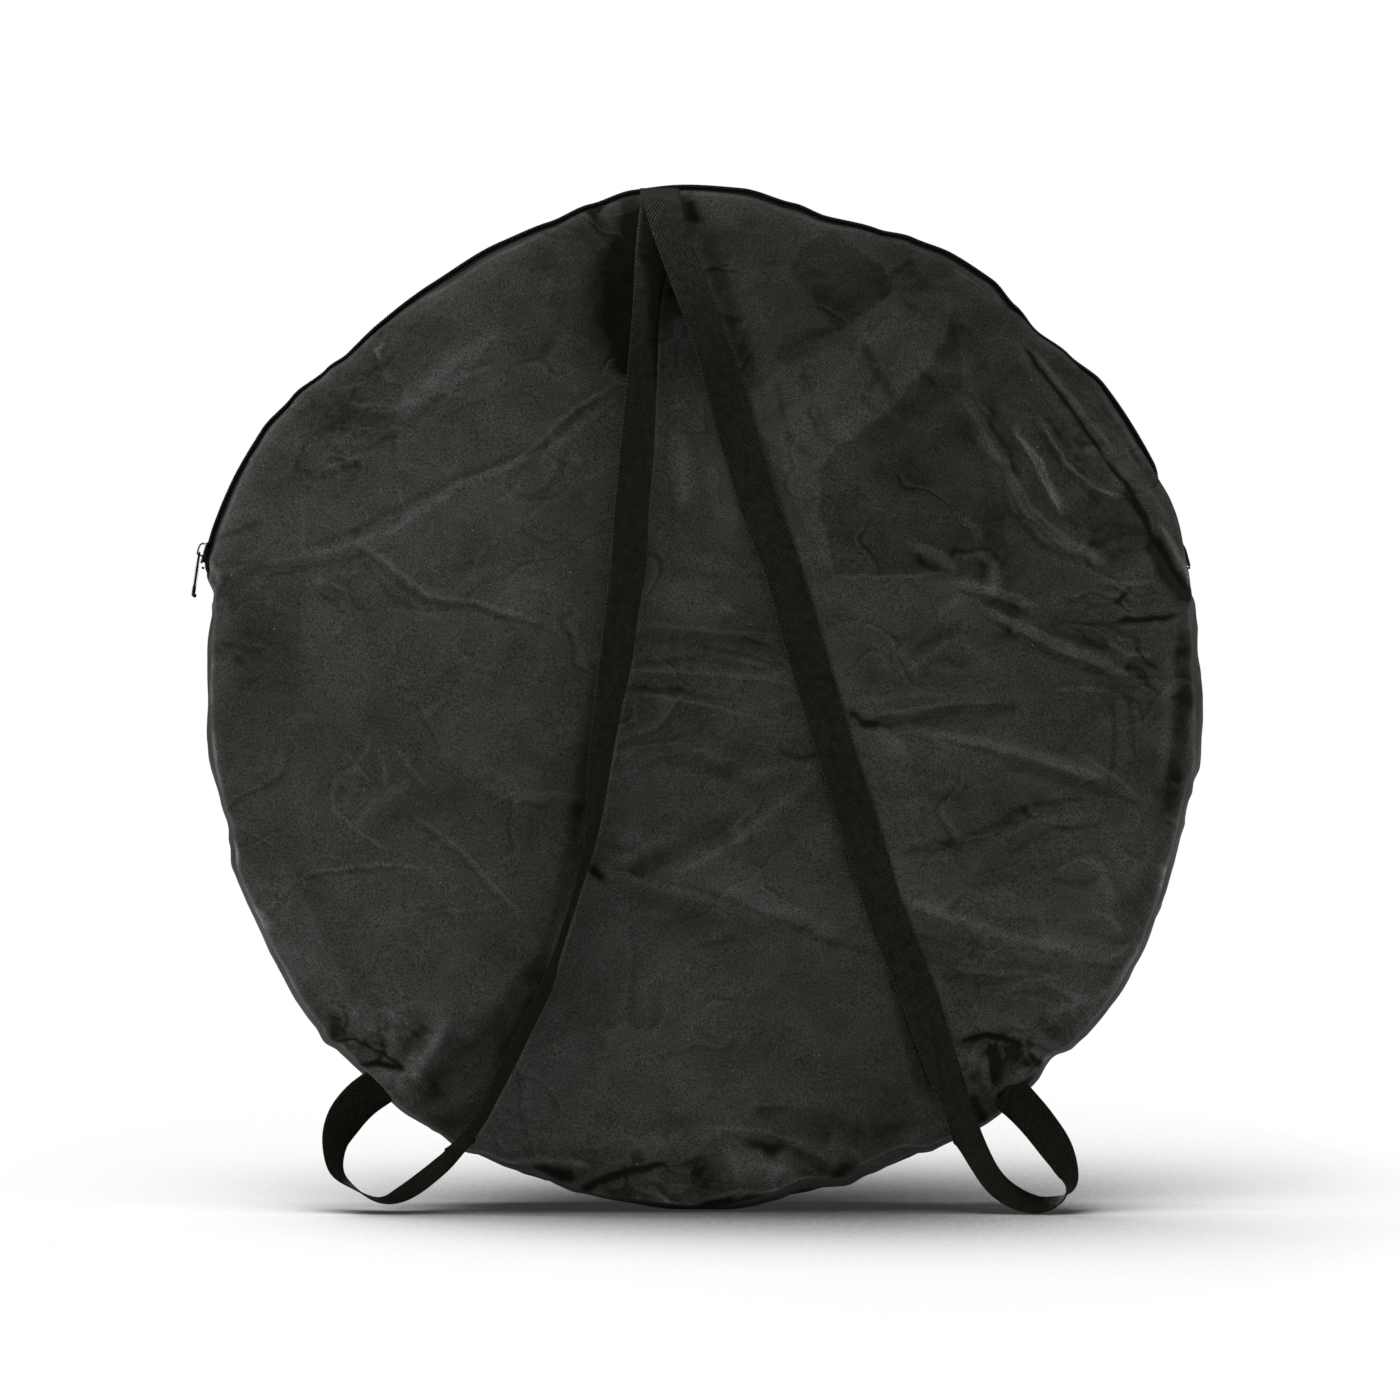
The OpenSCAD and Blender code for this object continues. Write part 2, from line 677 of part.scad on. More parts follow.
module pump_collar() {
    color(joint_colour) in_pump() translate([0, 0, barrel_l]) difference() {
        union() {
            translate([0, 0, lay_play / 3]) cylinder(r = barrel_r, h = collar_t);
            translate([0, 0, -cap_t]) cylinder(r = barrel_r - barrel_wall - fit_play, h = cap_t + 1);
        }
        translate([0, 0, -cap_t - clear]) cylinder(r = rod_r + fit_play, h = collar_t + cap_t + 2 * clear);
    }
}

handle_z = barrel_l + collar_t + 2 * lay_play;

module pump_rod() {
    low = cap_t + lay_play + 2;
    color(steel_colour) in_pump() translate([0, 0, low]) cylinder(r = rod_r, h = handle_z + 8 - low);
}

module pump_piston() {
    color(rubber_colour) in_pump() translate([0, 0, cap_t + lay_play]) difference() {
        cylinder(r = barrel_r - barrel_wall - fit_play, h = piston_t);
        translate([0, 0, 2 - fit_play]) cylinder(r = rod_r + fit_play / 2, h = piston_t);
    }
}

// A hollow grip with a waist; the needle is kept in it
module pump_handle() {
    color(joint_colour) in_pump() translate([0, 0, handle_z]) difference() {
        rotate_extrude() polygon([[0, 0], [handle_r - 2, 0], [handle_r, 2], [handle_r, 6],
            [handle_r - 2.5, handle_l * 0.4], [handle_r - 2.5, handle_l * 0.6],
            [handle_r, handle_l - 6], [handle_r, handle_l - 2], [handle_r - 2, handle_l],
            [0, handle_l]]);
        translate([0, 0, -clear]) cylinder(r = rod_r + fit_play / 2, h = 8 + clear + fit_play);
        translate([0, 0, 9]) cylinder(r = 4.5, h = handle_l);
    }
}

module pump_needle() {
    color(steel_colour) in_pump() translate([0, 0, handle_z + 9 + fit_play]) {
        cylinder(r = 4.2, h = 5);
        translate([0, 0, 4]) cylinder(r = 1, h = needle_l - 4);
    }
}

front_panel();
back_panel();
lower_gusset();
upper_gusset_front();
upper_gusset_back();
zip_tape_front();
zip_tape_back();
zip_teeth_front();
zip_teeth_back();
zip_end_stops();
zip_slider();
zip_pull();
strap_left();
strap_right();
rim_tube(1);  // rim_tube_1
rim_tube(2);  // rim_tube_2
rim_tube(3);  // rim_tube_3
rim_tube(4);  // rim_tube_4
rim_tube(5);  // rim_tube_5
corner_joint(1);  // corner_joint_1
corner_joint(2);  // corner_joint_2
corner_joint(3);  // corner_joint_3
corner_joint(4);  // corner_joint_4
corner_joint(5);  // corner_joint_5
leg_lug(1);  // leg_lug_1
leg_lug(2);  // leg_lug_2
leg_lug(3);  // leg_lug_3
leg_lug(4);  // leg_lug_4
leg_lug(5);  // leg_lug_5
leg_tube(1);  // leg_tube_1
leg_tube(2);  // leg_tube_2
leg_tube(3);  // leg_tube_3
leg_tube(4);  // leg_tube_4
leg_tube(5);  // leg_tube_5
leg_foot(1);  // leg_foot_1
leg_foot(2);  // leg_foot_2
leg_foot(3);  // leg_foot_3
leg_foot(4);  // leg_foot_4
leg_foot(5);  // leg_foot_5
leg_pins();
net();
net_hooks();
ball(1);  // ball_1
ball(2);  // ball_2
ball(3);  // ball_3
pump_barrel();
pump_collar();
pump_rod();
pump_piston();
pump_handle();
pump_needle();
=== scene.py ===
import math

import bmesh
import bpy
import numpy as np
from mathutils import Matrix, Vector


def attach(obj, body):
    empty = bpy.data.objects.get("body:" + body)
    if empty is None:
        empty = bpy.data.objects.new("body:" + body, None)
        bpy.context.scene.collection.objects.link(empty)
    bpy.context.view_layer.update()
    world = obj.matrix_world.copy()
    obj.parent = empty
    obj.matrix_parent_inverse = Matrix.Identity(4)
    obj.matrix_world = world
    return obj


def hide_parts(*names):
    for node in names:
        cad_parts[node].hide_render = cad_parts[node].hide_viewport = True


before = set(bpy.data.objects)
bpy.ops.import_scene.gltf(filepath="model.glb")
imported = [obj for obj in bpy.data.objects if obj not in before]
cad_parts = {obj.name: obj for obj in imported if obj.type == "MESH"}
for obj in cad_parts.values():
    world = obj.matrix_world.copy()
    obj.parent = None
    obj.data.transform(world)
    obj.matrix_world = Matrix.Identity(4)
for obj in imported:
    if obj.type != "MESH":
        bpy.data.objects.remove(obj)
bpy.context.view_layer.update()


# ------------------------------------------------------------------ the bag's shape
# The bag is a round pouch of coated polyester, sewn from two discs and a gusset. It stands on
# its edge, held out by the rim inside, and the slack cloth waves in and out round its outline.

# Height of the bag's middle, distance of its seams from the middle plane, and the panels' crown
HUB = 0.485
SEAM_DEPTH = 0.041
CROWN = 0.0225

# The outermost line: degrees from the right hand side, and millimetres from the hub
RIM_LINE = [
    (0, 482.5), (5, 480.5), (10, 483), (13, 487.5), (15, 489), (18, 489.5), (22, 492), (28, 492.5),
    (38, 493), (43, 485.5), (47.5, 480), (51, 485), (55, 491.5), (60, 492), (65, 488), (69, 482.5),
    (75, 479), (79, 484), (85, 491), (92, 492.5), (97, 491), (102, 484.5), (107, 478), (113, 476),
    (122, 471.5), (130, 470.5), (135, 469.5), (138, 474), (143, 482.5), (148, 488.5), (155, 490),
    (160, 490), (163.2, 489.2), (165.4, 484), (167.5, 474), (170, 469.5), (176, 467), (186, 467),
    (192, 464.5), (194.8, 462.5), (197, 465), (200, 470), (206, 470), (212, 472.5), (217, 477),
    (220.5, 478), (222.5, 481), (224.3, 477), (229, 477.5), (235, 482), (239, 480.5), (242.5, 483.5),
    (245, 479), (247.5, 481), (251, 478), (256, 482), (262, 483), (270, 487), (273, 488.7),
    (276, 486), (279, 483.5), (282.5, 478), (287.5, 486), (290, 482.5), (295, 478.5), (298, 485),
    (305, 491), (311, 487.5), (315, 482), (317.5, 489), (323, 491.5), (330, 490), (336, 485),
    (341, 481.5), (348, 479.5), (350.5, 480.5), (352.5, 485), (357, 483.5)]


def eased(x, points, period=None):
    """Smooth steps through (x, y) points, round a period where one is given."""
    xs = np.array([p[0] for p in points], float)
    ys = np.array([p[1] for p in points], float)
    x = np.asarray(x, float)
    if period:
        x = np.mod(x - xs[0], period) + xs[0]
        xs, ys = np.append(xs, xs[0] + period), np.append(ys, ys[0])
    i = np.clip(np.searchsorted(xs, x, side="right") - 1, 0, len(xs) - 2)
    t = np.clip((x - xs[i]) / (xs[i + 1] - xs[i]), 0, 1)
    return ys[i] + (ys[i + 1] - ys[i]) * t * t * (3 - 2 * t)


def rim_radius(theta):
    """Radius of the bag's outermost line at an angle in radians."""
    return eased(np.degrees(theta), RIM_LINE, 360) / 1000


# How far inside that line the two seams run: in front in millimetres by degrees, at the back even
SEAM_DROP = [
    (0, 7), (15, 4), (20, 1), (23, 1), (27, 4), (33, 8), (40, 4), (43, 2), (48, 2), (54, 9), (59, 10),
    (64, 6), (70, 5), (78, 7), (90, 5), (104, 5), (112, 8), (119, 9), (127, 5), (138, 3), (150, 6),
    (160, 8), (168, 4), (190, 5), (222, 6), (243, 3), (250, 8), (258, 4), (268, 7), (284, 12),
    (292, 14), (299, 6), (312, 5), (330, 6), (350, 6)]
BACK_DROP = 0.008


def seam_radius(theta):
    """Radius of the front seam at an angle in radians."""
    return rim_radius(theta) - eased(np.degrees(theta), SEAM_DROP, 360) / 1000


def noise(x, z, size, seed, stretch=1.0, turn=0.0):
    """Smooth noise with features of a size in metres, drawn out along a direction in degrees."""
    n = 64
    grid = np.random.RandomState(seed).rand(n, n) * 2 - 1
    c, s = math.cos(math.radians(turn)), math.sin(math.radians(turn))
    u, v = (x * c + z * s) / (size * stretch) + 100.5, (z * c - x * s) / size + 100.5
    i, j = np.floor(u).astype(int), np.floor(v).astype(int)
    fu, fv = u - i, v - j
    fu, fv = fu * fu * (3 - 2 * fu), fv * fv * (3 - 2 * fv)
    a, b = grid[i % n, j % n], grid[(i + 1) % n, j % n]
    d, e = grid[i % n, (j + 1) % n], grid[(i + 1) % n, (j + 1) % n]
    return (a * (1 - fu) + b * fu) * (1 - fv) + (d * (1 - fu) + e * fu) * fv


def shifted(x, z, amount, size, seed):
    """The places moved about by an amount, in swirls of a size."""
    return x + amount * noise(x, z, size, seed + 1), z + amount * noise(x, z, size, seed + 2)


def crumple(x, z, size, seed, stretch=1.0, turn=0.0):
    """Creased noise: flat facets that meet along sharp folds."""
    wx, wz = shifted(x, z, size * 0.5, size * 1.7, seed)
    return 1 - 2 * np.abs(noise(wx, wz, size, seed, stretch, turn))


# Places on the front panel are given in steps of STEP metres that run right and down from an
# upper left corner; the bag's foot stands at FOOT_U, FOOT_V
STEP, FOOT_U, FOOT_V = 0.000955, 696, 1209


def px(run):
    """The (x, z) places in metres of a run u, v, u, v and so on in steps."""
    return [((u - FOOT_U) * STEP, (FOOT_V - v) * STEP) for u, v in zip(run[::2], run[1::2])]


def along(x, z, path):
    """Distance from a path, signed by side, and the share of its length at the nearest point."""
    p = np.array(path, float)
    lengths = np.hypot(*(p[1:] - p[:-1]).T)
    total, start = lengths.sum(), 0.0
    best = np.full(x.shape, 1e9)
    signed, share = np.zeros(x.shape), np.zeros(x.shape)
    for a, b, length in zip(p[:-1], p[1:], lengths):
        d = (b - a) / length
        t = np.clip((x - a[0]) * d[0] + (z - a[1]) * d[1], 0, length)
        ex, ez = x - a[0] - t * d[0], z - a[1] - t * d[1]
        dist = np.hypot(ex, ez)
        nearer = dist < best
        side = np.sign(ex * -d[1] + ez * d[0])
        best = np.where(nearer, dist, best)
        signed = np.where(nearer, dist * side, signed)
        share = np.where(nearer, (start + t) / total, share)
        start += length
    return signed, share


def fold(x, z, path, height, width, step, sharp):
    """One fold in millimetres: a ridge (height over 0) or a crease (under 0), with a step across it."""
    d, share = along(x, z, px(path))
    d = d * 1000
    fade = np.clip(np.minimum(share, 1 - share) * 6, 0, 1)
    fade = fade * fade * (3 - 2 * fade)
    body = np.exp(-np.power(np.abs(d) / width, sharp) * 0.8)
    return fade * (height * body + step * np.tanh(d / width * 1.3) * np.exp(-np.square(d / width / 5)))


# The folds that the straps' anchors, the zip and the bag's own weight pull into the front panel:
# height, width, step and how round the top is, then the path, in the steps of px
FRONT_FOLDS = [
    # under the straps' top end
    (-2.5, 24, 0, 1.6, 618, 205, 619, 240, 617, 300, 614, 345),
    (2, 14, 0, 2, 640, 196, 650, 260, 652, 340), (-3, 9, 0, 1.6, 688, 200, 692, 212, 690, 224),
    (1.5, 18, 0, 2, 576, 214, 588, 300, 582, 380), (2, 14, 0, 2, 722, 200, 740, 240, 760, 290),
    (-2.5, 12, 0, 1.8, 664, 225, 672, 260, 676, 300),
    # upper left
    (3.0, 12, 0, 1.4, 395, 420, 425, 395, 455, 365, 485, 338),
    (-0.9, 6, 0, 1.2, 350, 440, 385, 415, 420, 408), (1.4, 7, 0, 1.2, 352, 412, 395, 398, 440, 402),
    (1.2, 9, 0, 1.4, 290, 470, 340, 440, 400, 440), (-1.8, 14, 0, 1.6, 460, 400, 500, 362, 560, 330),
    # left, from the zip's end
    (1.1, 5, 0.3, 1.1, 216, 545, 260, 560, 305, 551, 364, 551, 430, 530),
    (-1.5, 6, 0, 1.1, 222, 576, 262, 569, 312, 563, 366, 566),
    (1.4, 7, 0, 1.1, 364, 551, 400, 530, 428, 510),
    (-0.8, 4, 0.2, 1.1, 372, 564, 428, 600, 476, 605, 543, 628),
    (0.7, 5, 0, 1.2, 376, 580, 430, 612, 500, 622), (-1.6, 5, 0, 1.1, 212, 540, 234, 532, 262, 520),
    (-2.2, 6, 0, 1.4, 214, 663, 228, 658, 240, 648), (1.6, 8, 0, 1.6, 212, 690, 236, 672, 262, 660),
    (3.0, 4, 0, 1.2, 210, 598, 217, 580, 226, 566), (-2.5, 5, 0, 1.2, 217, 600, 224, 584, 236, 572),
    (-0.8, 4, 0, 1.1, 305, 564, 306, 604, 306, 643), (1.0, 12, 0, 1.6, 330, 600, 338, 680, 330, 760),
    (-1.2, 14, 0, 1.6, 430, 720, 470, 800, 480, 880), (1.4, 9, 0, 1.3, 348, 812, 380, 790, 420, 778),
    (1.5, 14, 0, 1.8, 230, 860, 270, 880, 300, 930),
    # middle
    (-1.4, 4.5, 0.7, 1.1, 630, 664, 704, 671, 793, 680, 812, 690),
    (-1.4, 5, 0, 1.2, 626, 680, 689, 690, 730, 700), (0.8, 6, 0, 1.3, 632, 655, 700, 658, 790, 664),
    (-1.8, 11, 0, 1.4, 600, 880, 628, 867, 680, 832, 735, 800),
    (1.2, 10, 0, 1.4, 606, 905, 650, 880, 705, 850), (-1.0, 6, 0, 1.3, 765, 906, 800, 922, 842, 940),
    (-1.0, 4, 0, 1.2, 782, 996, 790, 1010, 788, 1022), (0.8, 14, 0, 1.6, 560, 960, 640, 980, 700, 975),
    # right
    (2.0, 6, 0, 1.2, 846, 704, 870, 708, 920, 712, 976, 709),
    (-2.2, 7, 0, 1.2, 850, 722, 900, 724, 970, 718, 1030, 706),
    (1.6, 8, 0, 1.3, 890, 742, 960, 738, 1003, 750, 1060, 764, 1108, 778),
    (-1.2, 8, 0, 1.4, 900, 770, 960, 772, 1020, 784),
    (2.2, 9, 0, 1.3, 985, 604, 1020, 620, 1060, 640, 1084, 656),
    (-1.8, 8, 0, 1.3, 1010, 596, 1056, 616, 1096, 640),
    (-1.8, 3.2, 0.6, 1.1, 1066, 622, 1118, 620, 1160, 616, 1196, 606),
    (1.8, 6, 0, 1.2, 1070, 606, 1110, 594, 1150, 592),
    (-1.6, 5, 0, 1.2, 1098, 574, 1118, 590, 1130, 606),
    (-1.4, 7, -0.3, 1.5, 1184, 618, 1182, 660, 1178, 745, 1160, 800, 1148, 830),
    (1.2, 9, 0, 1.5, 1166, 640, 1162, 700, 1158, 760), (-1.0, 9, 0, 1.4, 896, 852, 950, 836, 1020, 813),
    (-1.6, 5, 0, 1.2, 1080, 700, 1120, 716, 1164, 716),
    (1.2, 6, 0, 1.2, 1096, 668, 1130, 680, 1164, 678),
    (1.2, 12, 0, 1.5, 1060, 820, 1108, 850, 1140, 900),
    # upper right
    (-2.2, 2.6, 1.2, 1.0, 1020, 344, 1034, 362, 1067, 405, 1094, 442, 1124, 484),
    (-3.4, 4.0, 1.4, 1.0, 1118, 486, 1132, 504, 1146, 526, 1152, 540),
    (-5.5, 6, 0, 1.5, 1148, 534, 1162, 556, 1180, 584, 1194, 604),
    (2.4, 5, 0, 1.4, 1160, 528, 1178, 560, 1192, 588),
    (2.0, 6, 0, 1.4, 1140, 548, 1152, 580, 1168, 604), (2.0, 5, 0, 1.2, 962, 388, 984, 430, 1000, 466),
    (-1.6, 6, 0, 1.2, 978, 384, 1004, 430, 1018, 460),
    (2.2, 4.5, 0, 1.1, 1012, 426, 1030, 452, 1046, 480),
    (2.0, 6, 0, 1.2, 1050, 430, 1080, 464, 1112, 500),
    (-1.8, 7, 0, 1.3, 1034, 440, 1062, 478, 1092, 512),
    (1.4, 8, 0, 1.4, 1040, 520, 1084, 552, 1112, 560),
    (-1.4, 7, 0, 1.3, 1060, 536, 1096, 540, 1128, 530), (-2.4, 26, 0, 2, 870, 500, 910, 480, 958, 556),
    (1.4, 16, 0, 1.8, 846, 420, 900, 380, 940, 352),
    # lower right
    (2.6, 9, -0.6, 1.3, 906, 902, 950, 928, 1016, 952, 1070, 958, 1122, 960),
    (-2.4, 10, 0, 1.5, 900, 922, 960, 962, 1030, 975, 1100, 976),
    (-3.4, 4, 1.2, 1.0, 958, 1040, 976, 1034, 1000, 1031, 1034, 1042, 1064, 1056),
    (2.2, 8, 0, 1.4, 970, 1022, 1004, 1018, 1040, 1028),
    (3.6, 9, 0, 1.6, 980, 1056, 1006, 1072, 1030, 1104),
    (-3.8, 9, 0, 1.6, 966, 1066, 984, 1090, 1000, 1120),
    (-5.5, 6, 0, 1.3, 1006, 1096, 1030, 1082, 1052, 1064),
    (-2.6, 6, 0, 1.3, 1020, 1056, 1044, 1066, 1066, 1054),
    (3.2, 5, 0, 1.3, 996, 1118, 1016, 1100, 1040, 1080),
    # lower left
    (-2.8, 9, 0, 1.6, 318, 1000, 326, 1020, 334, 1040),
    (-2.2, 3.4, -1.4, 1.0, 330, 1046, 346, 1035, 362, 1034, 384, 1046, 408, 1066),
    (2.6, 9, 0, 1.6, 352, 1006, 372, 1016, 378, 1032),
    (-2.4, 7, 0, 1.5, 378, 1008, 384, 1030, 382, 1046),
    (-3.6, 4, 0, 1.4, 356, 1062, 384, 1060, 408, 1070),
    (4.4, 9, 0, 1.5, 410, 1080, 430, 1056, 444, 1030, 448, 1010),
    (-3.0, 13, 0, 1.8, 428, 1086, 452, 1060, 468, 1030),
    (3.0, 7, 0, 1.5, 356, 1072, 388, 1084, 424, 1082),
    (-3.0, 7, 0, 1.5, 400, 1050, 412, 1034, 430, 1022),
    # foot
    (3.6, 8, 0, 1.4, 500, 1172, 533, 1157, 562, 1156, 590, 1162),
    (-3.5, 7, 0, 1.4, 512, 1184, 545, 1172, 584, 1176),
    (-3.0, 8, 0, 1.4, 580, 1192, 610, 1176, 650, 1156),
    (-3.2, 5, 0, 1.3, 716, 1200, 745, 1187, 801, 1187),
    (-2.4, 13, 0, 1.6, 728, 1134, 780, 1140, 832, 1154, 868, 1168),
    (2.2, 12, 0, 1.6, 740, 1116, 800, 1122, 860, 1140),
    (-1.6, 14, 0, 1.6, 660, 1120, 700, 1150, 716, 1190),
    (2.4, 8, 0, 1.4, 880, 1160, 905, 1140, 928, 1128),
]


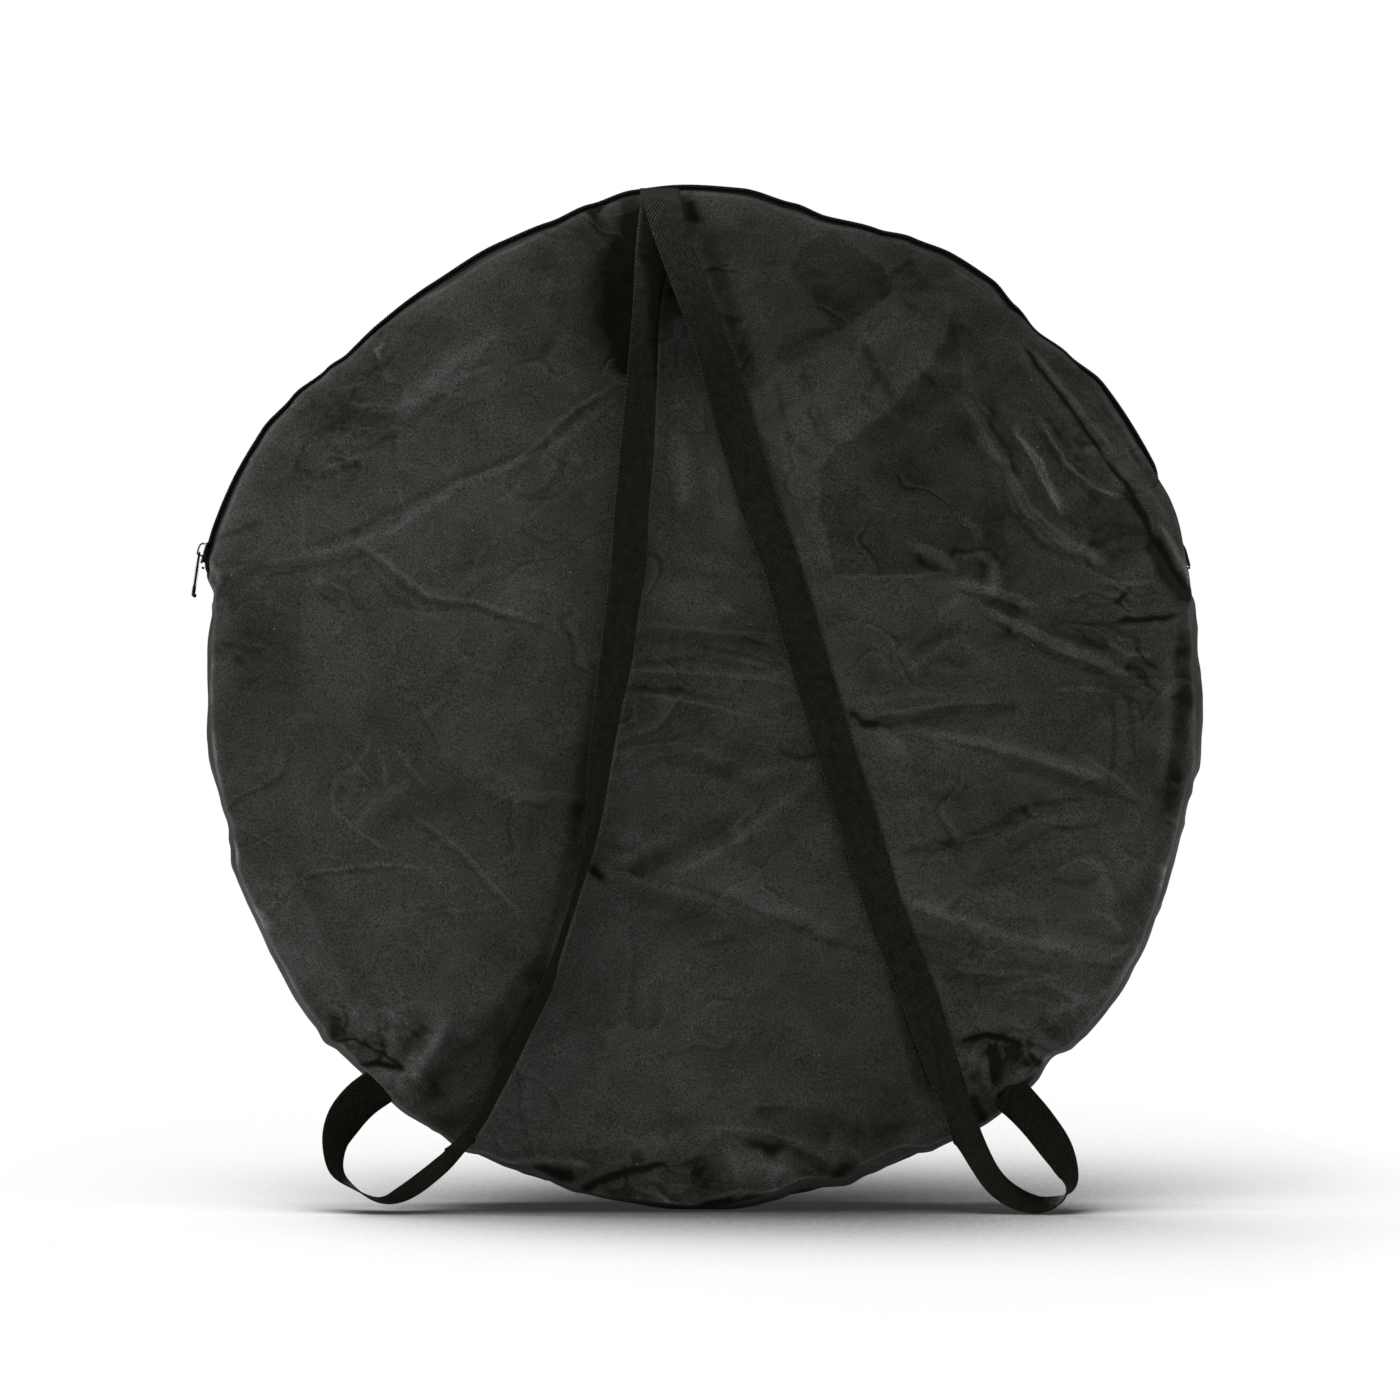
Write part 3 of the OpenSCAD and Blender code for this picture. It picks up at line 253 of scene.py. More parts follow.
# Lines of painted shade (under 0) in the hollows of creases and beside the straps, and of painted
# highlight on the crests: half width in the same steps, change of tone, then the path
SHADE_AND_HIGHLIGHT_LINES = [
    # beside the straps' top end
    (3, -0.12, 560, 226, 590, 232, 618, 236), (2.4, -0.10, 536, 232, 580, 240, 612, 250),
    (9, -0.32, 683, 194, 690, 206, 696, 226), (13, -0.12, 700, 219, 722, 290, 752, 375),
    (40, -0.28, 628, 192, 612, 250, 604, 310, 614, 376), (9, 0.15, 680, 430, 684, 465, 687, 500),
    # upper right
    (18, 0.10, 780, 400, 850, 440), (5, -0.15, 812, 400, 835, 445), (5, -0.14, 865, 350, 895, 400),
    (10, -0.10, 918, 300, 960, 330, 990, 380), (8, 0.14, 940, 240, 980, 270),
    (4.5, 0.24, 977, 433, 999, 459, 1012, 463), (6, 0.20, 1003, 472, 1016, 502, 1042, 533, 1094, 554),
    (3.5, -0.20, 996, 476, 1008, 508, 1038, 541, 1090, 562),
    (2.6, 0.34, 1016, 433, 1038, 459, 1059, 511), (3.2, -0.26, 1030, 420, 1060, 462, 1100, 503),
    (3.0, -0.28, 1042, 429, 1072, 468, 1111, 502), (2.0, -0.36, 1022, 347, 1067, 405, 1105, 460),
    (2.8, -0.42, 1105, 460, 1129, 489, 1146, 524), (10, -0.50, 1146, 532, 1163, 567, 1189, 602),
    (3, 0.45, 1158, 522, 1178, 556, 1193, 588), (8, 0.10, 1108, 440, 1136, 480, 1160, 520),
    # right
    (5.5, 0.26, 912, 545, 930, 548, 951, 563), (4, -0.16, 915, 556, 940, 572),
    (5, 0.16, 960, 515, 981, 537), (2, 0.16, 830, 575, 890, 573, 951, 571),
    (4, 0.18, 951, 580, 977, 584, 1029, 602), (4, 0.16, 940, 610, 962, 592),
    (5.5, 0.26, 990, 610, 1042, 641, 1111, 662), (3.5, -0.22, 985, 599, 1040, 624, 1110, 648),
    (3.5, -0.16, 1000, 622, 1050, 652, 1100, 672), (6, 0.18, 895, 645, 916, 667),
    (6, 0.12, 870, 640, 888, 652), (5, 0.12, 839, 701, 920, 690, 999, 699),
    (5, -0.24, 865, 720, 912, 716, 960, 703, 1016, 702),
    (5, 0.22, 899, 723, 977, 738, 1042, 753, 1111, 775), (8, 0.22, 890, 742, 905, 748),
    (5, -0.16, 1000, 760, 1060, 776, 1110, 790), (9, -0.28, 1181, 628, 1179, 700, 1176, 760, 1160, 810),
    (6, 0.10, 1166, 640, 1164, 720, 1158, 790), (2.6, -0.45, 1116, 616, 1150, 617, 1172, 613),
    (3, 0.26, 1096, 576, 1120, 582, 1150, 577), (3, -0.3, 1112, 600, 1126, 588),
    (4, -0.22, 1122, 662, 1136, 668, 1150, 684), (3, -0.12, 1110, 690, 1112, 740, 1104, 800),
    (3, -0.12, 1128, 690, 1130, 750), (7, -0.18, 906, 906, 950, 930, 1016, 950, 1080, 956),
    (6, 0.14, 896, 892, 950, 914, 1016, 934, 1090, 944), (10, -0.16, 905, 940, 960, 972, 1030, 984),
    (4, -0.12, 896, 852, 950, 838, 1020, 815), (12, -0.12, 1100, 880, 1130, 900, 1120, 950),
    (5, 0.2, 1060, 985, 1090, 1000, 1110, 980),
    # middle
    (2.4, 0.24, 634, 667, 684, 668, 741, 673, 792, 680), (3, -0.16, 636, 661, 700, 655, 770, 668),
    (2.4, -0.22, 628, 684, 660, 688, 684, 687), (9, -0.09, 600, 640, 700, 632, 780, 640),
    (8, -0.18, 673, 751, 706, 764, 734, 769), (7, 0.09, 741, 772, 780, 765, 821, 761),
    (8, -0.24, 626, 871, 677, 848, 741, 808), (4, 0.18, 623, 858, 645, 842, 666, 833),
    (4, 0.18, 673, 871, 700, 858, 722, 846), (5, 0.12, 601, 866, 648, 878, 792, 914),
    (12, -0.10, 616, 886, 680, 908, 790, 934), (2, -0.2, 588, 657, 592, 662, 596, 666),
    (9, -0.14, 592, 700, 580, 780, 570, 850), (6, -0.30, 846, 840, 866, 900, 884, 940),
    (5, -0.30, 884, 944, 912, 1020, 938, 1096), (5, -0.5, 592, 862, 598, 870, 603, 876),
    (4, 0.24, 720, 600, 732, 612), (10, 0.07, 690, 560, 740, 566, 800, 560),
    # left
    (2.8, 0.24, 264, 561, 313, 551, 346, 544, 396, 527, 453, 486, 556, 445),
    (3.2, -0.18, 300, 546, 355, 529, 445, 482, 532, 447), (2.6, -0.2, 270, 572, 320, 562, 366, 552),
    (2.8, -0.26, 355, 543, 372, 554, 420, 597, 478, 605, 544, 626),
    (2.4, 0.2, 362, 541, 384, 554, 428, 592, 480, 599, 540, 618),
    (3.5, -0.16, 363, 560, 392, 592, 420, 606), (2, 0.08, 306, 490, 305, 530, 306, 560),
    (22, -0.08, 240, 620, 270, 630, 298, 650), (6, -0.14, 326, 576, 345, 590, 363, 605),
    (7, 0.24, 419, 393, 452, 364, 483, 341, 498, 332), (18, -0.08, 335, 400, 370, 412, 400, 438),
    (3.5, -0.2, 297, 461, 316, 477, 365, 461), (3, -0.18, 318, 440, 340, 418, 372, 410),
    (3, 0.18, 388, 408, 425, 398, 440, 388), (11, -0.12, 529, 256, 567, 279, 552, 313),
    (4.5, 0.16, 544, 454, 582, 422, 620, 393), (4.5, -0.12, 514, 473, 548, 442, 582, 408),
    (2.4, 0.22, 403, 515, 428, 505, 453, 492), (3, 0.4, 214, 560, 222, 580, 214, 596),
    (2.4, -0.22, 216, 540, 240, 530, 262, 520), (4, 0.2, 212, 664, 226, 658, 238, 650),
    (4, -0.25, 210, 650, 224, 644, 236, 640), (5, 0.14, 350, 830, 372, 800, 410, 782),
    (14, -0.10, 368, 840, 420, 800, 470, 790), (16, 0.06, 268, 740, 300, 800, 330, 860),
    # lower left, where the strap's end is sewn in
    (2.6, -0.7, 362, 1062, 380, 1060, 408, 1068),
    (1.5, -0.42, 337, 1039, 356, 1036, 386, 1050, 404, 1065),
    (8, 0.30, 445, 1021, 434, 1043, 411, 1069, 367, 1074), (7, -0.24, 404, 1013, 402, 1034, 404, 1056),
    (5, -0.25, 378, 1000, 384, 1014, 382, 1030), (7, -0.2, 334, 1008, 338, 1022, 334, 1034),
    (12, -0.14, 446, 1054, 430, 1080, 415, 1092), (4, -0.3, 367, 1084, 385, 1098),
    (7, -0.25, 540, 990, 520, 1026, 500, 1060), (7, 0.14, 392, 1004, 420, 1000, 450, 1008),
    # foot
    (2.8, 0.2, 508, 1161, 537, 1154, 582, 1160), (6, -0.3, 515, 1167, 545, 1170, 575, 1176),
    (3.8, -0.45, 574, 1194, 604, 1176, 663, 1158), (2, 0.26, 637, 1184, 655, 1190, 671, 1199),
    (9, -0.15, 733, 1136, 782, 1146, 852, 1180), (9, 0.12, 725, 1154, 760, 1162, 802, 1174),
    (14, -0.14, 774, 1112, 820, 1122, 864, 1140), (2.6, 0.26, 700, 1197, 749, 1187, 802, 1187),
    (5, -0.35, 700, 1204, 749, 1196, 790, 1192), (2.6, 0.35, 872, 1162, 888, 1154, 908, 1150),
    (12, -0.08, 560, 1100, 600, 1110, 640, 1130),
    # lower right, where the strap's end is sewn in
    (3, -0.55, 960, 1036, 987, 1031, 1024, 1042), (5, 0.16, 962, 1046, 980, 1060, 990, 1080),
    (7, -0.34, 987, 1040, 994, 1058, 995, 1076), (6, -0.42, 970, 1090, 978, 1108, 986, 1124),
    (4, -0.55, 998, 1094, 1012, 1088, 1034, 1078), (4.5, 0.24, 990, 1090, 1020, 1070, 1050, 1060),
    (7, -0.25, 1004, 1046, 1026, 1056, 1044, 1062), (4, 0.14, 1024, 1044, 1046, 1056, 1060, 1050),
    (4, 0.25, 1050, 1008, 1070, 1002, 1086, 990), (6, -0.2, 1040, 1020, 1060, 1030),
    # short dark dashes across the pale band right of the straps
    (3.4, -0.20, 862, 344, 872, 366, 885, 385), (4, -0.14, 777, 380, 780, 400, 784, 420),
    (3.6, -0.22, 806, 406, 816, 428, 830, 444), (3.2, -0.18, 786, 430, 796, 444, 812, 455),
    (3.4, -0.16, 862, 394, 868, 402, 876, 410), (3, -0.12, 800, 366, 806, 380, 812, 392),
    (3, -0.14, 902, 300, 916, 312, 930, 322), (3, -0.12, 914, 362, 924, 376, 934, 384),
    # thin lines of painted shade and painted highlight along small creases
    (3.5, -0.16, 690, 881, 748, 904, 830, 939, 882, 951), (6, 0.09, 700, 874, 760, 896, 840, 930),
    (1.8, 0.20, 417, 811, 463, 846, 504, 892, 533, 922), (2, -0.12, 413, 816, 458, 851, 500, 897),
    (1.8, 0.20, 338, 776, 334, 792, 336, 806, 362, 829, 390, 847),
    (1.8, 0.16, 344, 770, 362, 764, 372, 780), (1.8, 0.18, 380, 745, 386, 764, 388, 784),
    (1.8, 0.16, 372, 730, 366, 750, 352, 770), (2, 0.14, 396, 742, 410, 760, 428, 784),
    (2, 0.14, 306, 869, 382, 860, 434, 863), (2.4, -0.12, 306, 874, 360, 867, 400, 866),
    (2, 0.12, 400, 912, 440, 908, 486, 904), (1.6, 0.09, 305, 590, 306, 620, 305, 650),
    (3, 0.20, 312, 576, 330, 580, 346, 586, 351, 602), (2, -0.16, 322, 590, 336, 600, 344, 612),
    (2, 0.18, 460, 482, 500, 468, 534, 446), (2.2, 0.18, 529, 451, 548, 432, 566, 414, 622, 378),
    (2.2, -0.12, 524, 458, 560, 424, 600, 396), (1.8, 0.14, 398, 480, 402, 494, 408, 508),
    (2, 0.14, 440, 460, 452, 472, 460, 452), (2, 0.12, 500, 500, 515, 490, 522, 478),
    (2.4, 0.10, 470, 580, 478, 560, 486, 540), (2, -0.16, 341, 409, 367, 412, 414, 425),
    (2, 0.14, 350, 402, 385, 404, 412, 400), (2, -0.20, 300, 460, 310, 436, 330, 424, 352, 428),
    (2, 0.16, 318, 470, 350, 458, 376, 452), (2, -0.14, 328, 440, 344, 452, 352, 470),
    (2, -0.16, 366, 372, 384, 366, 398, 352), (2, -0.14, 372, 340, 390, 326, 402, 322),
    (1.6, 0.5, 382, 356, 378, 348, 386, 342), (2, -0.14, 410, 330, 430, 312, 446, 300),
    (2, -0.12, 440, 420, 470, 404, 486, 396), (3, 0.16, 450, 380, 474, 372, 498, 366),
    (6, -0.16, 523, 237, 549, 254, 570, 290, 566, 322, 538, 360),
    (3, -0.3, 604, 205, 596, 216, 588, 208), (1.6, 0.36, 1011, 426, 1029, 454, 1040, 477, 1060, 511),
    (1.8, -0.26, 966, 391, 983, 412, 1006, 449, 1017, 477), (2, 0.20, 960, 397, 976, 420, 994, 452),
    (2, 0.30, 1040, 420, 1063, 460, 1097, 489, 1122, 495),
    (2.4, -0.22, 1046, 416, 1070, 452, 1104, 482), (2, 0.26, 1034, 352, 1072, 400, 1112, 448),
    (2, 0.16, 1118, 440, 1146, 486, 1168, 520), (3, -0.12, 1090, 392, 1120, 432, 1140, 470),
    (2, 0.26, 1006, 466, 1029, 506, 1063, 534, 1097, 557), (2, -0.18, 1000, 474, 1020, 512, 1056, 544),
    (2.2, 0.28, 989, 609, 1040, 631, 1114, 666, 1137, 677),
    (2.2, -0.18, 984, 616, 1036, 640, 1110, 674), (2, 0.22, 960, 580, 1000, 588, 1034, 603),
    (2, -0.16, 958, 588, 996, 598, 1026, 610), (2, 0.2, 940, 612, 950, 600, 962, 592),
    (3, 0.24, 909, 540, 926, 546, 943, 551, 954, 569), (4, 0.12, 912, 650, 930, 664, 944, 668),
    (4, 0.10, 964, 640, 980, 656, 992, 662), (2, -0.2, 1120, 690, 1136, 700, 1142, 720),
    (2, -0.2, 1130, 640, 1142, 656, 1156, 668), (2, 0.2, 1104, 640, 1124, 650, 1150, 652),
    (2.4, 0.14, 1050, 688, 1080, 684, 1110, 690), (2.6, -0.28, 882, 724, 905, 718, 940, 709, 1004, 704),
    (2.6, 0.16, 870, 714, 906, 706, 950, 700, 1010, 700), (5, -0.3, 847, 707, 864, 720, 880, 722),
    (6, 0.28, 876, 726, 888, 736, 899, 744), (2.2, 0.26, 940, 730, 1016, 747, 1097, 776),
    (2.6, -0.22, 944, 737, 1016, 756, 1100, 786, 1136, 802),
    (2.4, -0.22, 992, 823, 1016, 808, 1040, 800, 1080, 796), (3, 0.12, 1000, 836, 1030, 818, 1080, 812),
    (2.4, -0.16, 1010, 850, 1050, 826, 1100, 820), (1.8, -0.14, 900, 850, 950, 836, 1000, 822),
    (2, 0.16, 1078, 752, 1110, 770, 1136, 794), (7, 0.20, 1085, 850, 1100, 870, 1112, 900),
    (3, 0.2, 1090, 906, 1110, 916, 1120, 930), (2, -0.24, 1084, 930, 1106, 934, 1128, 940),
    (3, -0.14, 1050, 876, 1084, 880, 1104, 872), (2, 0.14, 1058, 866, 1078, 856, 1096, 862),
    (2.4, -0.20, 912, 906, 952, 922, 992, 945, 1050, 962, 1114, 962),
    (4, -0.20, 906, 928, 950, 944, 1000, 960, 1060, 966),
    (3.4, -0.26, 934, 971, 1004, 980, 1045, 991, 1062, 1003), (4, 0.10, 920, 960, 980, 968, 1060, 974),
    (3, 0.14, 900, 893, 950, 910, 1010, 934, 1090, 950), (2.4, 0.24, 1100, 958, 1116, 950, 1130, 938),
    (3, -0.2, 1040, 984, 1060, 990, 1070, 1000), (4, 0.14, 1070, 1030, 1084, 1016, 1096, 1002),
    (1.6, -0.22, 731, 1131, 806, 1148, 853, 1183), (4, 0.12, 725, 1142, 738, 1166, 744, 1184),
    (10, -0.14, 737, 1102, 806, 1119, 864, 1131, 922, 1119),
    (2.4, 0.16, 712, 1124, 760, 1126, 806, 1140), (2, 0.26, 524, 1157, 574, 1157, 592, 1166),
    (3, -0.26, 512, 1162, 540, 1164, 572, 1168), (4, 0.12, 690, 864, 748, 829, 830, 759),
    (3, -0.16, 778, 748, 804, 756, 830, 748), (2.2, 0.10, 644, 620, 700, 626, 780, 634),
    (2, 0.14, 640, 690, 700, 700, 760, 716), (3, -0.2, 644, 764, 662, 756, 690, 760),
    (2, -0.14, 690, 640, 740, 650, 786, 664),
    # the bag's edge catches the light where its roll turns
    (4, 0.9, 232, 838, 236, 850, 236, 862), (5, 0.7, 252, 905, 264, 915, 270, 926),
    (5, 0.2, 240, 880, 250, 894, 256, 902), (6, 0.16, 262, 940, 286, 970, 304, 996),
    (3, 0.5, 213, 600, 211, 640, 212, 700), (3, 0.35, 214, 724, 218, 770, 226, 820),
    (3, 0.6, 1198, 742, 1194, 780, 1184, 830), (5, 0.5, 1160, 862, 1166, 872, 1158, 886),
    (4, 0.3, 1140, 940, 1124, 966, 1104, 994),
]

# Patches of painted sheen and painted shade, where the cloth faces the lamps or turns from them
# and where the straps shade it: softness of the border in the same steps, change of tone, then the outline
SHADE_AND_SHEEN_PATCHES = [
    # right of the straps
    (8, -0.10, 949, 323, 937, 346, 920, 369, 891, 406, 863, 423, 834, 449, 823, 466, 820, 484, 824,
     524, 837, 575, 980, 575, 1004, 548, 1004, 510, 986, 466, 966, 420, 962, 380, 956, 340),
    (7, 0.11, 751, 391, 777, 369, 829, 334, 891, 294, 949, 290, 948, 328, 926, 369, 886, 409, 834,
     447, 817, 470, 820, 520, 836, 572, 822, 560, 806, 523, 783, 477, 777, 443, 754, 431),
    (8, -0.12, 806, 243, 834, 231, 880, 266, 894, 289, 857, 323, 840, 331, 826, 317, 808, 294, 789,
     271),
    (8, -0.10, 783, 334, 829, 326, 840, 340, 789, 364, 776, 352),
    (14, -0.08, 700, 240, 716, 250, 740, 310, 764, 392, 752, 398, 728, 330),
    (10, 0.05, 646, 577, 790, 577, 1000, 577, 1034, 604, 980, 622, 800, 606, 650, 610),
    (8, -0.05, 645, 500, 745, 520, 786, 576, 646, 576),
    (6, 0.07, 996, 400, 1040, 416, 1090, 486, 1060, 512, 1030, 460),
    (5, 0.10, 1020, 340, 1060, 380, 1130, 470, 1118, 484, 1060, 420, 1016, 358),
    (8, -0.08, 1060, 512, 1100, 500, 1140, 530, 1120, 570, 1096, 556),
    (14, -0.05, 1010, 660, 1110, 690, 1164, 700, 1160, 800, 1120, 830, 1060, 780),
    (20, -0.06, 930, 770, 1040, 790, 1120, 850, 1080, 900, 980, 890, 900, 850),
    (8, 0.06, 880, 870, 960, 900, 1080, 930, 1140, 920, 1120, 956, 1010, 950, 900, 904),
    (5, -0.10, 1174, 626, 1190, 628, 1190, 700, 1178, 790, 1160, 860, 1140, 920, 1126, 912, 1150, 850,
     1166, 780, 1174, 700),
    # the straps' own shade
    (20, -0.12, 604, 640, 590, 680, 582, 760, 570, 840, 556, 892, 576, 880, 592, 830, 600, 760, 606,
     700),
    (12, -0.16, 812, 690, 832, 760, 850, 830, 872, 900, 860, 880, 838, 830, 820, 770),
    (12, -0.16, 884, 920, 900, 980, 922, 1050, 936, 1100, 916, 1090, 902, 1040, 888, 980),
    # between the straps, in their shade at the top
    (14, -0.26, 656, 212, 668, 226, 680, 264, 692, 312, 678, 318, 664, 330, 656, 352, 644, 352, 648,
     280),
    (8, 0.12, 672, 318, 686, 318, 694, 344, 676, 350),
    (7, 0.10, 674, 430, 690, 436, 688, 500, 676, 506, 668, 470),
    (8, 0.07, 704, 452, 724, 470, 738, 520, 728, 540, 708, 500),
    # left of the straps
    (24, -0.32, 643, 187, 628, 191, 618, 202, 622, 222, 616, 240, 612, 262, 608, 300, 610, 334, 618,
     362, 625, 374, 632, 374, 636, 300, 641, 240),
    (44, -0.16, 641, 215, 622, 232, 600, 262, 588, 300, 592, 330, 610, 366, 632, 372, 638, 290),
    (10, -0.08, 503, 300, 540, 290, 568, 300, 552, 352, 520, 366, 504, 340),
    (14, -0.05, 440, 262, 520, 250, 560, 262, 540, 290, 480, 300),
    (4, 0.17, 424, 386, 450, 378, 484, 346, 498, 331, 478, 364, 452, 392),
    (12, 0.07, 310, 597, 362, 604, 372, 680, 364, 724, 330, 716, 308, 690),
    (14, -0.06, 232, 590, 302, 580, 302, 690, 240, 690),
    (16, -0.05, 318, 300, 420, 300, 400, 400, 330, 470, 296, 460, 310, 380),
    (10, 0.09, 255, 874, 300, 884, 336, 960, 356, 1010, 330, 1006, 290, 960),
    (14, -0.06, 306, 884, 364, 900, 380, 960, 356, 1000, 330, 940),
    (22, -0.24, 562, 894, 548, 960, 556, 992, 510, 1064, 476, 1120, 446, 1128, 412, 1102, 436, 1078,
     456, 1052, 486, 1014, 510, 980, 536, 950),
    # foot
    (26, -0.18, 500, 1150, 600, 1140, 700, 1150, 728, 1200, 700, 1216, 600, 1206),
    (10, -0.10, 716, 1136, 740, 1190, 706, 1206, 690, 1160),
    (7, -0.13, 734, 1132, 790, 1144, 858, 1164, 850, 1182, 800, 1168, 750, 1146),
    # the pinch at the lower left
    (9, -0.20, 330, 1012, 348, 1018, 346, 1034, 332, 1040),
    (9, -0.18, 398, 1034, 422, 1020, 432, 1026, 406, 1058),
    (6, 0.12, 348, 1002, 366, 1018, 384, 1002, 402, 1010, 398, 1030, 376, 1036, 352, 1024),
    (4, -0.12, 344, 1040, 362, 1040, 392, 1056, 360, 1054),
    # the pinch at the lower right
    (6, -0.24, 986, 1040, 1018, 1040, 1044, 1062, 1034, 1084, 1006, 1102, 990, 1088),
    (5, 0.14, 1030, 1036, 1056, 1040, 1062, 1056, 1046, 1066),
]

# Where the cloth has been creased over and over: middle, reach, direction of the creases, strength
CREASED = [((385, 395), 0.075, 38, 0.16), ((335, 455), 0.05, 12, 0.16), ((1075, 455), 0.07, -58, 0.13),
           ((1110, 580), 0.06, -20, 0.15), ((1130, 660), 0.05, -12, 0.13), ((450, 610), 0.09, -28, 0.08),
           ((720, 690), 0.08, -4, 0.10), ((940, 720), 0.09, -8, 0.09), ((1000, 950), 0.08, 6, 0.11),
           ((1010, 1060), 0.045, 30, 0.26), ((385, 1050), 0.05, -30, 0.26), ((640, 1185), 0.10, 0, 0.15),
           ((870, 340), 0.07, 60, 0.07), ((230, 640), 0.045, -30, 0.10), ((280, 900), 0.05, 50, 0.12),
           ((660, 850), 0.09, 22, 0.05), ((1150, 840), 0.05, 60, 0.12), ((560, 480), 0.09, 30, 0.05)]

# Both panels' folds and tones are worked out on one even grid of places and read off between them
MAP_STEP = 0.001
MAP_X, MAP_Z = np.arange(-0.52, 0.521, MAP_STEP), np.arange(-0.03, 1.001, MAP_STEP)
grid_x, grid_z = np.meshgrid(MAP_X, MAP_Z, indexing="ij")


def window(path, margin):
    """The part of the grid that lies within a margin of a path."""
    p = np.array(px(path))
    low, high = p.min(0) - margin, p.max(0) + margin
    i = slice(*np.searchsorted(MAP_X, (low[0], high[0])))
    j = slice(*np.searchsorted(MAP_Z, (low[1], high[1])))
    return i, j


def patch(x, z, outline):
    """Distance inside an outline in millimetres, under 0 outside it."""
    p = px(outline)
    inside = np.zeros(x.shape, bool)
    for (ax, az), (bx, bz) in zip(p, p[1:] + p[:1]):
        spans = (az > z) != (bz > z)
        rise = bz - az if bz != az else 1e-9
        inside ^= spans & (x < ax + (z - az) * (bx - ax) / rise)
    return np.where(inside, 1000, -1000) * np.abs(along(x, z, p + p[:1])[0])


def read_map(grid, x, z):
    """What a grid holds at places between its own."""
    u = np.clip((x - MAP_X[0]) / MAP_STEP, 0, len(MAP_X) - 1.001)
    v = np.clip((z - MAP_Z[0]) / MAP_STEP, 0, len(MAP_Z) - 1.001)
    i, j = u.astype(int), v.astype(int)
    fu, fv = u - i, v - j
    return ((grid[i, j] * (1 - fu) + grid[i + 1, j] * fu) * (1 - fv)
            + (grid[i, j + 1] * (1 - fu) + grid[i + 1, j + 1] * fu) * fv)


def blurred(grid, size):
    """The grid smoothed over a distance in metres."""
    a, b = np.fft.fftfreq(grid.shape[0]), np.fft.rfftfreq(grid.shape[1])
    k = size / MAP_STEP * math.pi
    kept = np.exp(-2 * k * k * (a[:, None] ** 2 + b[None] ** 2))
    return np.fft.irfft2(np.fft.rfft2(grid) * kept, grid.shape)


def facet_shading(x, z, size, seed, stretch, turn):
    """Patches of painted light and shade with soft borders, as crumpled cloth shows where it faces
    different ways.
    """
    wx, wz = shifted(x, z, size * 0.45, size * 0.8, seed)
    vx, vz = shifted(x, z, size * 0.15, size * 0.25, seed + 2)
    return np.tanh(3.2 * noise(wx + vx - x, wz + vz - z, size, seed, stretch, turn))


def painted_crinkles(x, z, size, seed, stretch, turn):
    """Here and there a hair-thin fold painted on: a line of painted shade with a painted highlight beside
    it.
    """
    n = noise(*shifted(x, z, size * 0.3, size * 0.6, seed), size, seed, stretch, turn)
    steep = 0.0016 / size
    some = np.clip(3 * noise(x, z, size * 1.3, seed + 3) - 0.2, 0, 1)
    return some * (0.15 * np.exp(-np.square(n / steep - 1.3)) - 0.17 * np.exp(-np.square(n / steep + 0.7)))


def painted_ridges(x, z, size, seed, stretch, turn):
    """Many thin crests painted on: a painted highlight on each, with painted shade beside it."""
    n = noise(*shifted(x, z, size * 0.35, size * 0.8, seed), size, seed, stretch, turn)
    steep = 0.0014 / size
    return np.exp(-np.square(n / steep - 1.2)) - np.exp(-np.square(n / steep + 0.8))


def mound(x, z, at_x, at_z, wide, tall):
    """A soft round hill of height 1."""
    return np.exp(-np.square((x - at_x) / wide) - np.square((z - at_z) / tall))


def relief(high):
    """How sharply cloth bends upwards, and how far it stands over its neighbourhood."""
    slope_x, slope_z = np.gradient(high, 1000 * MAP_STEP)
    bend = np.gradient(slope_x, 1000 * MAP_STEP, axis=0) + np.gradient(slope_z, 1000 * MAP_STEP, axis=1)
    return blurred(bend, 0.0016), high - blurred(high, 0.012)


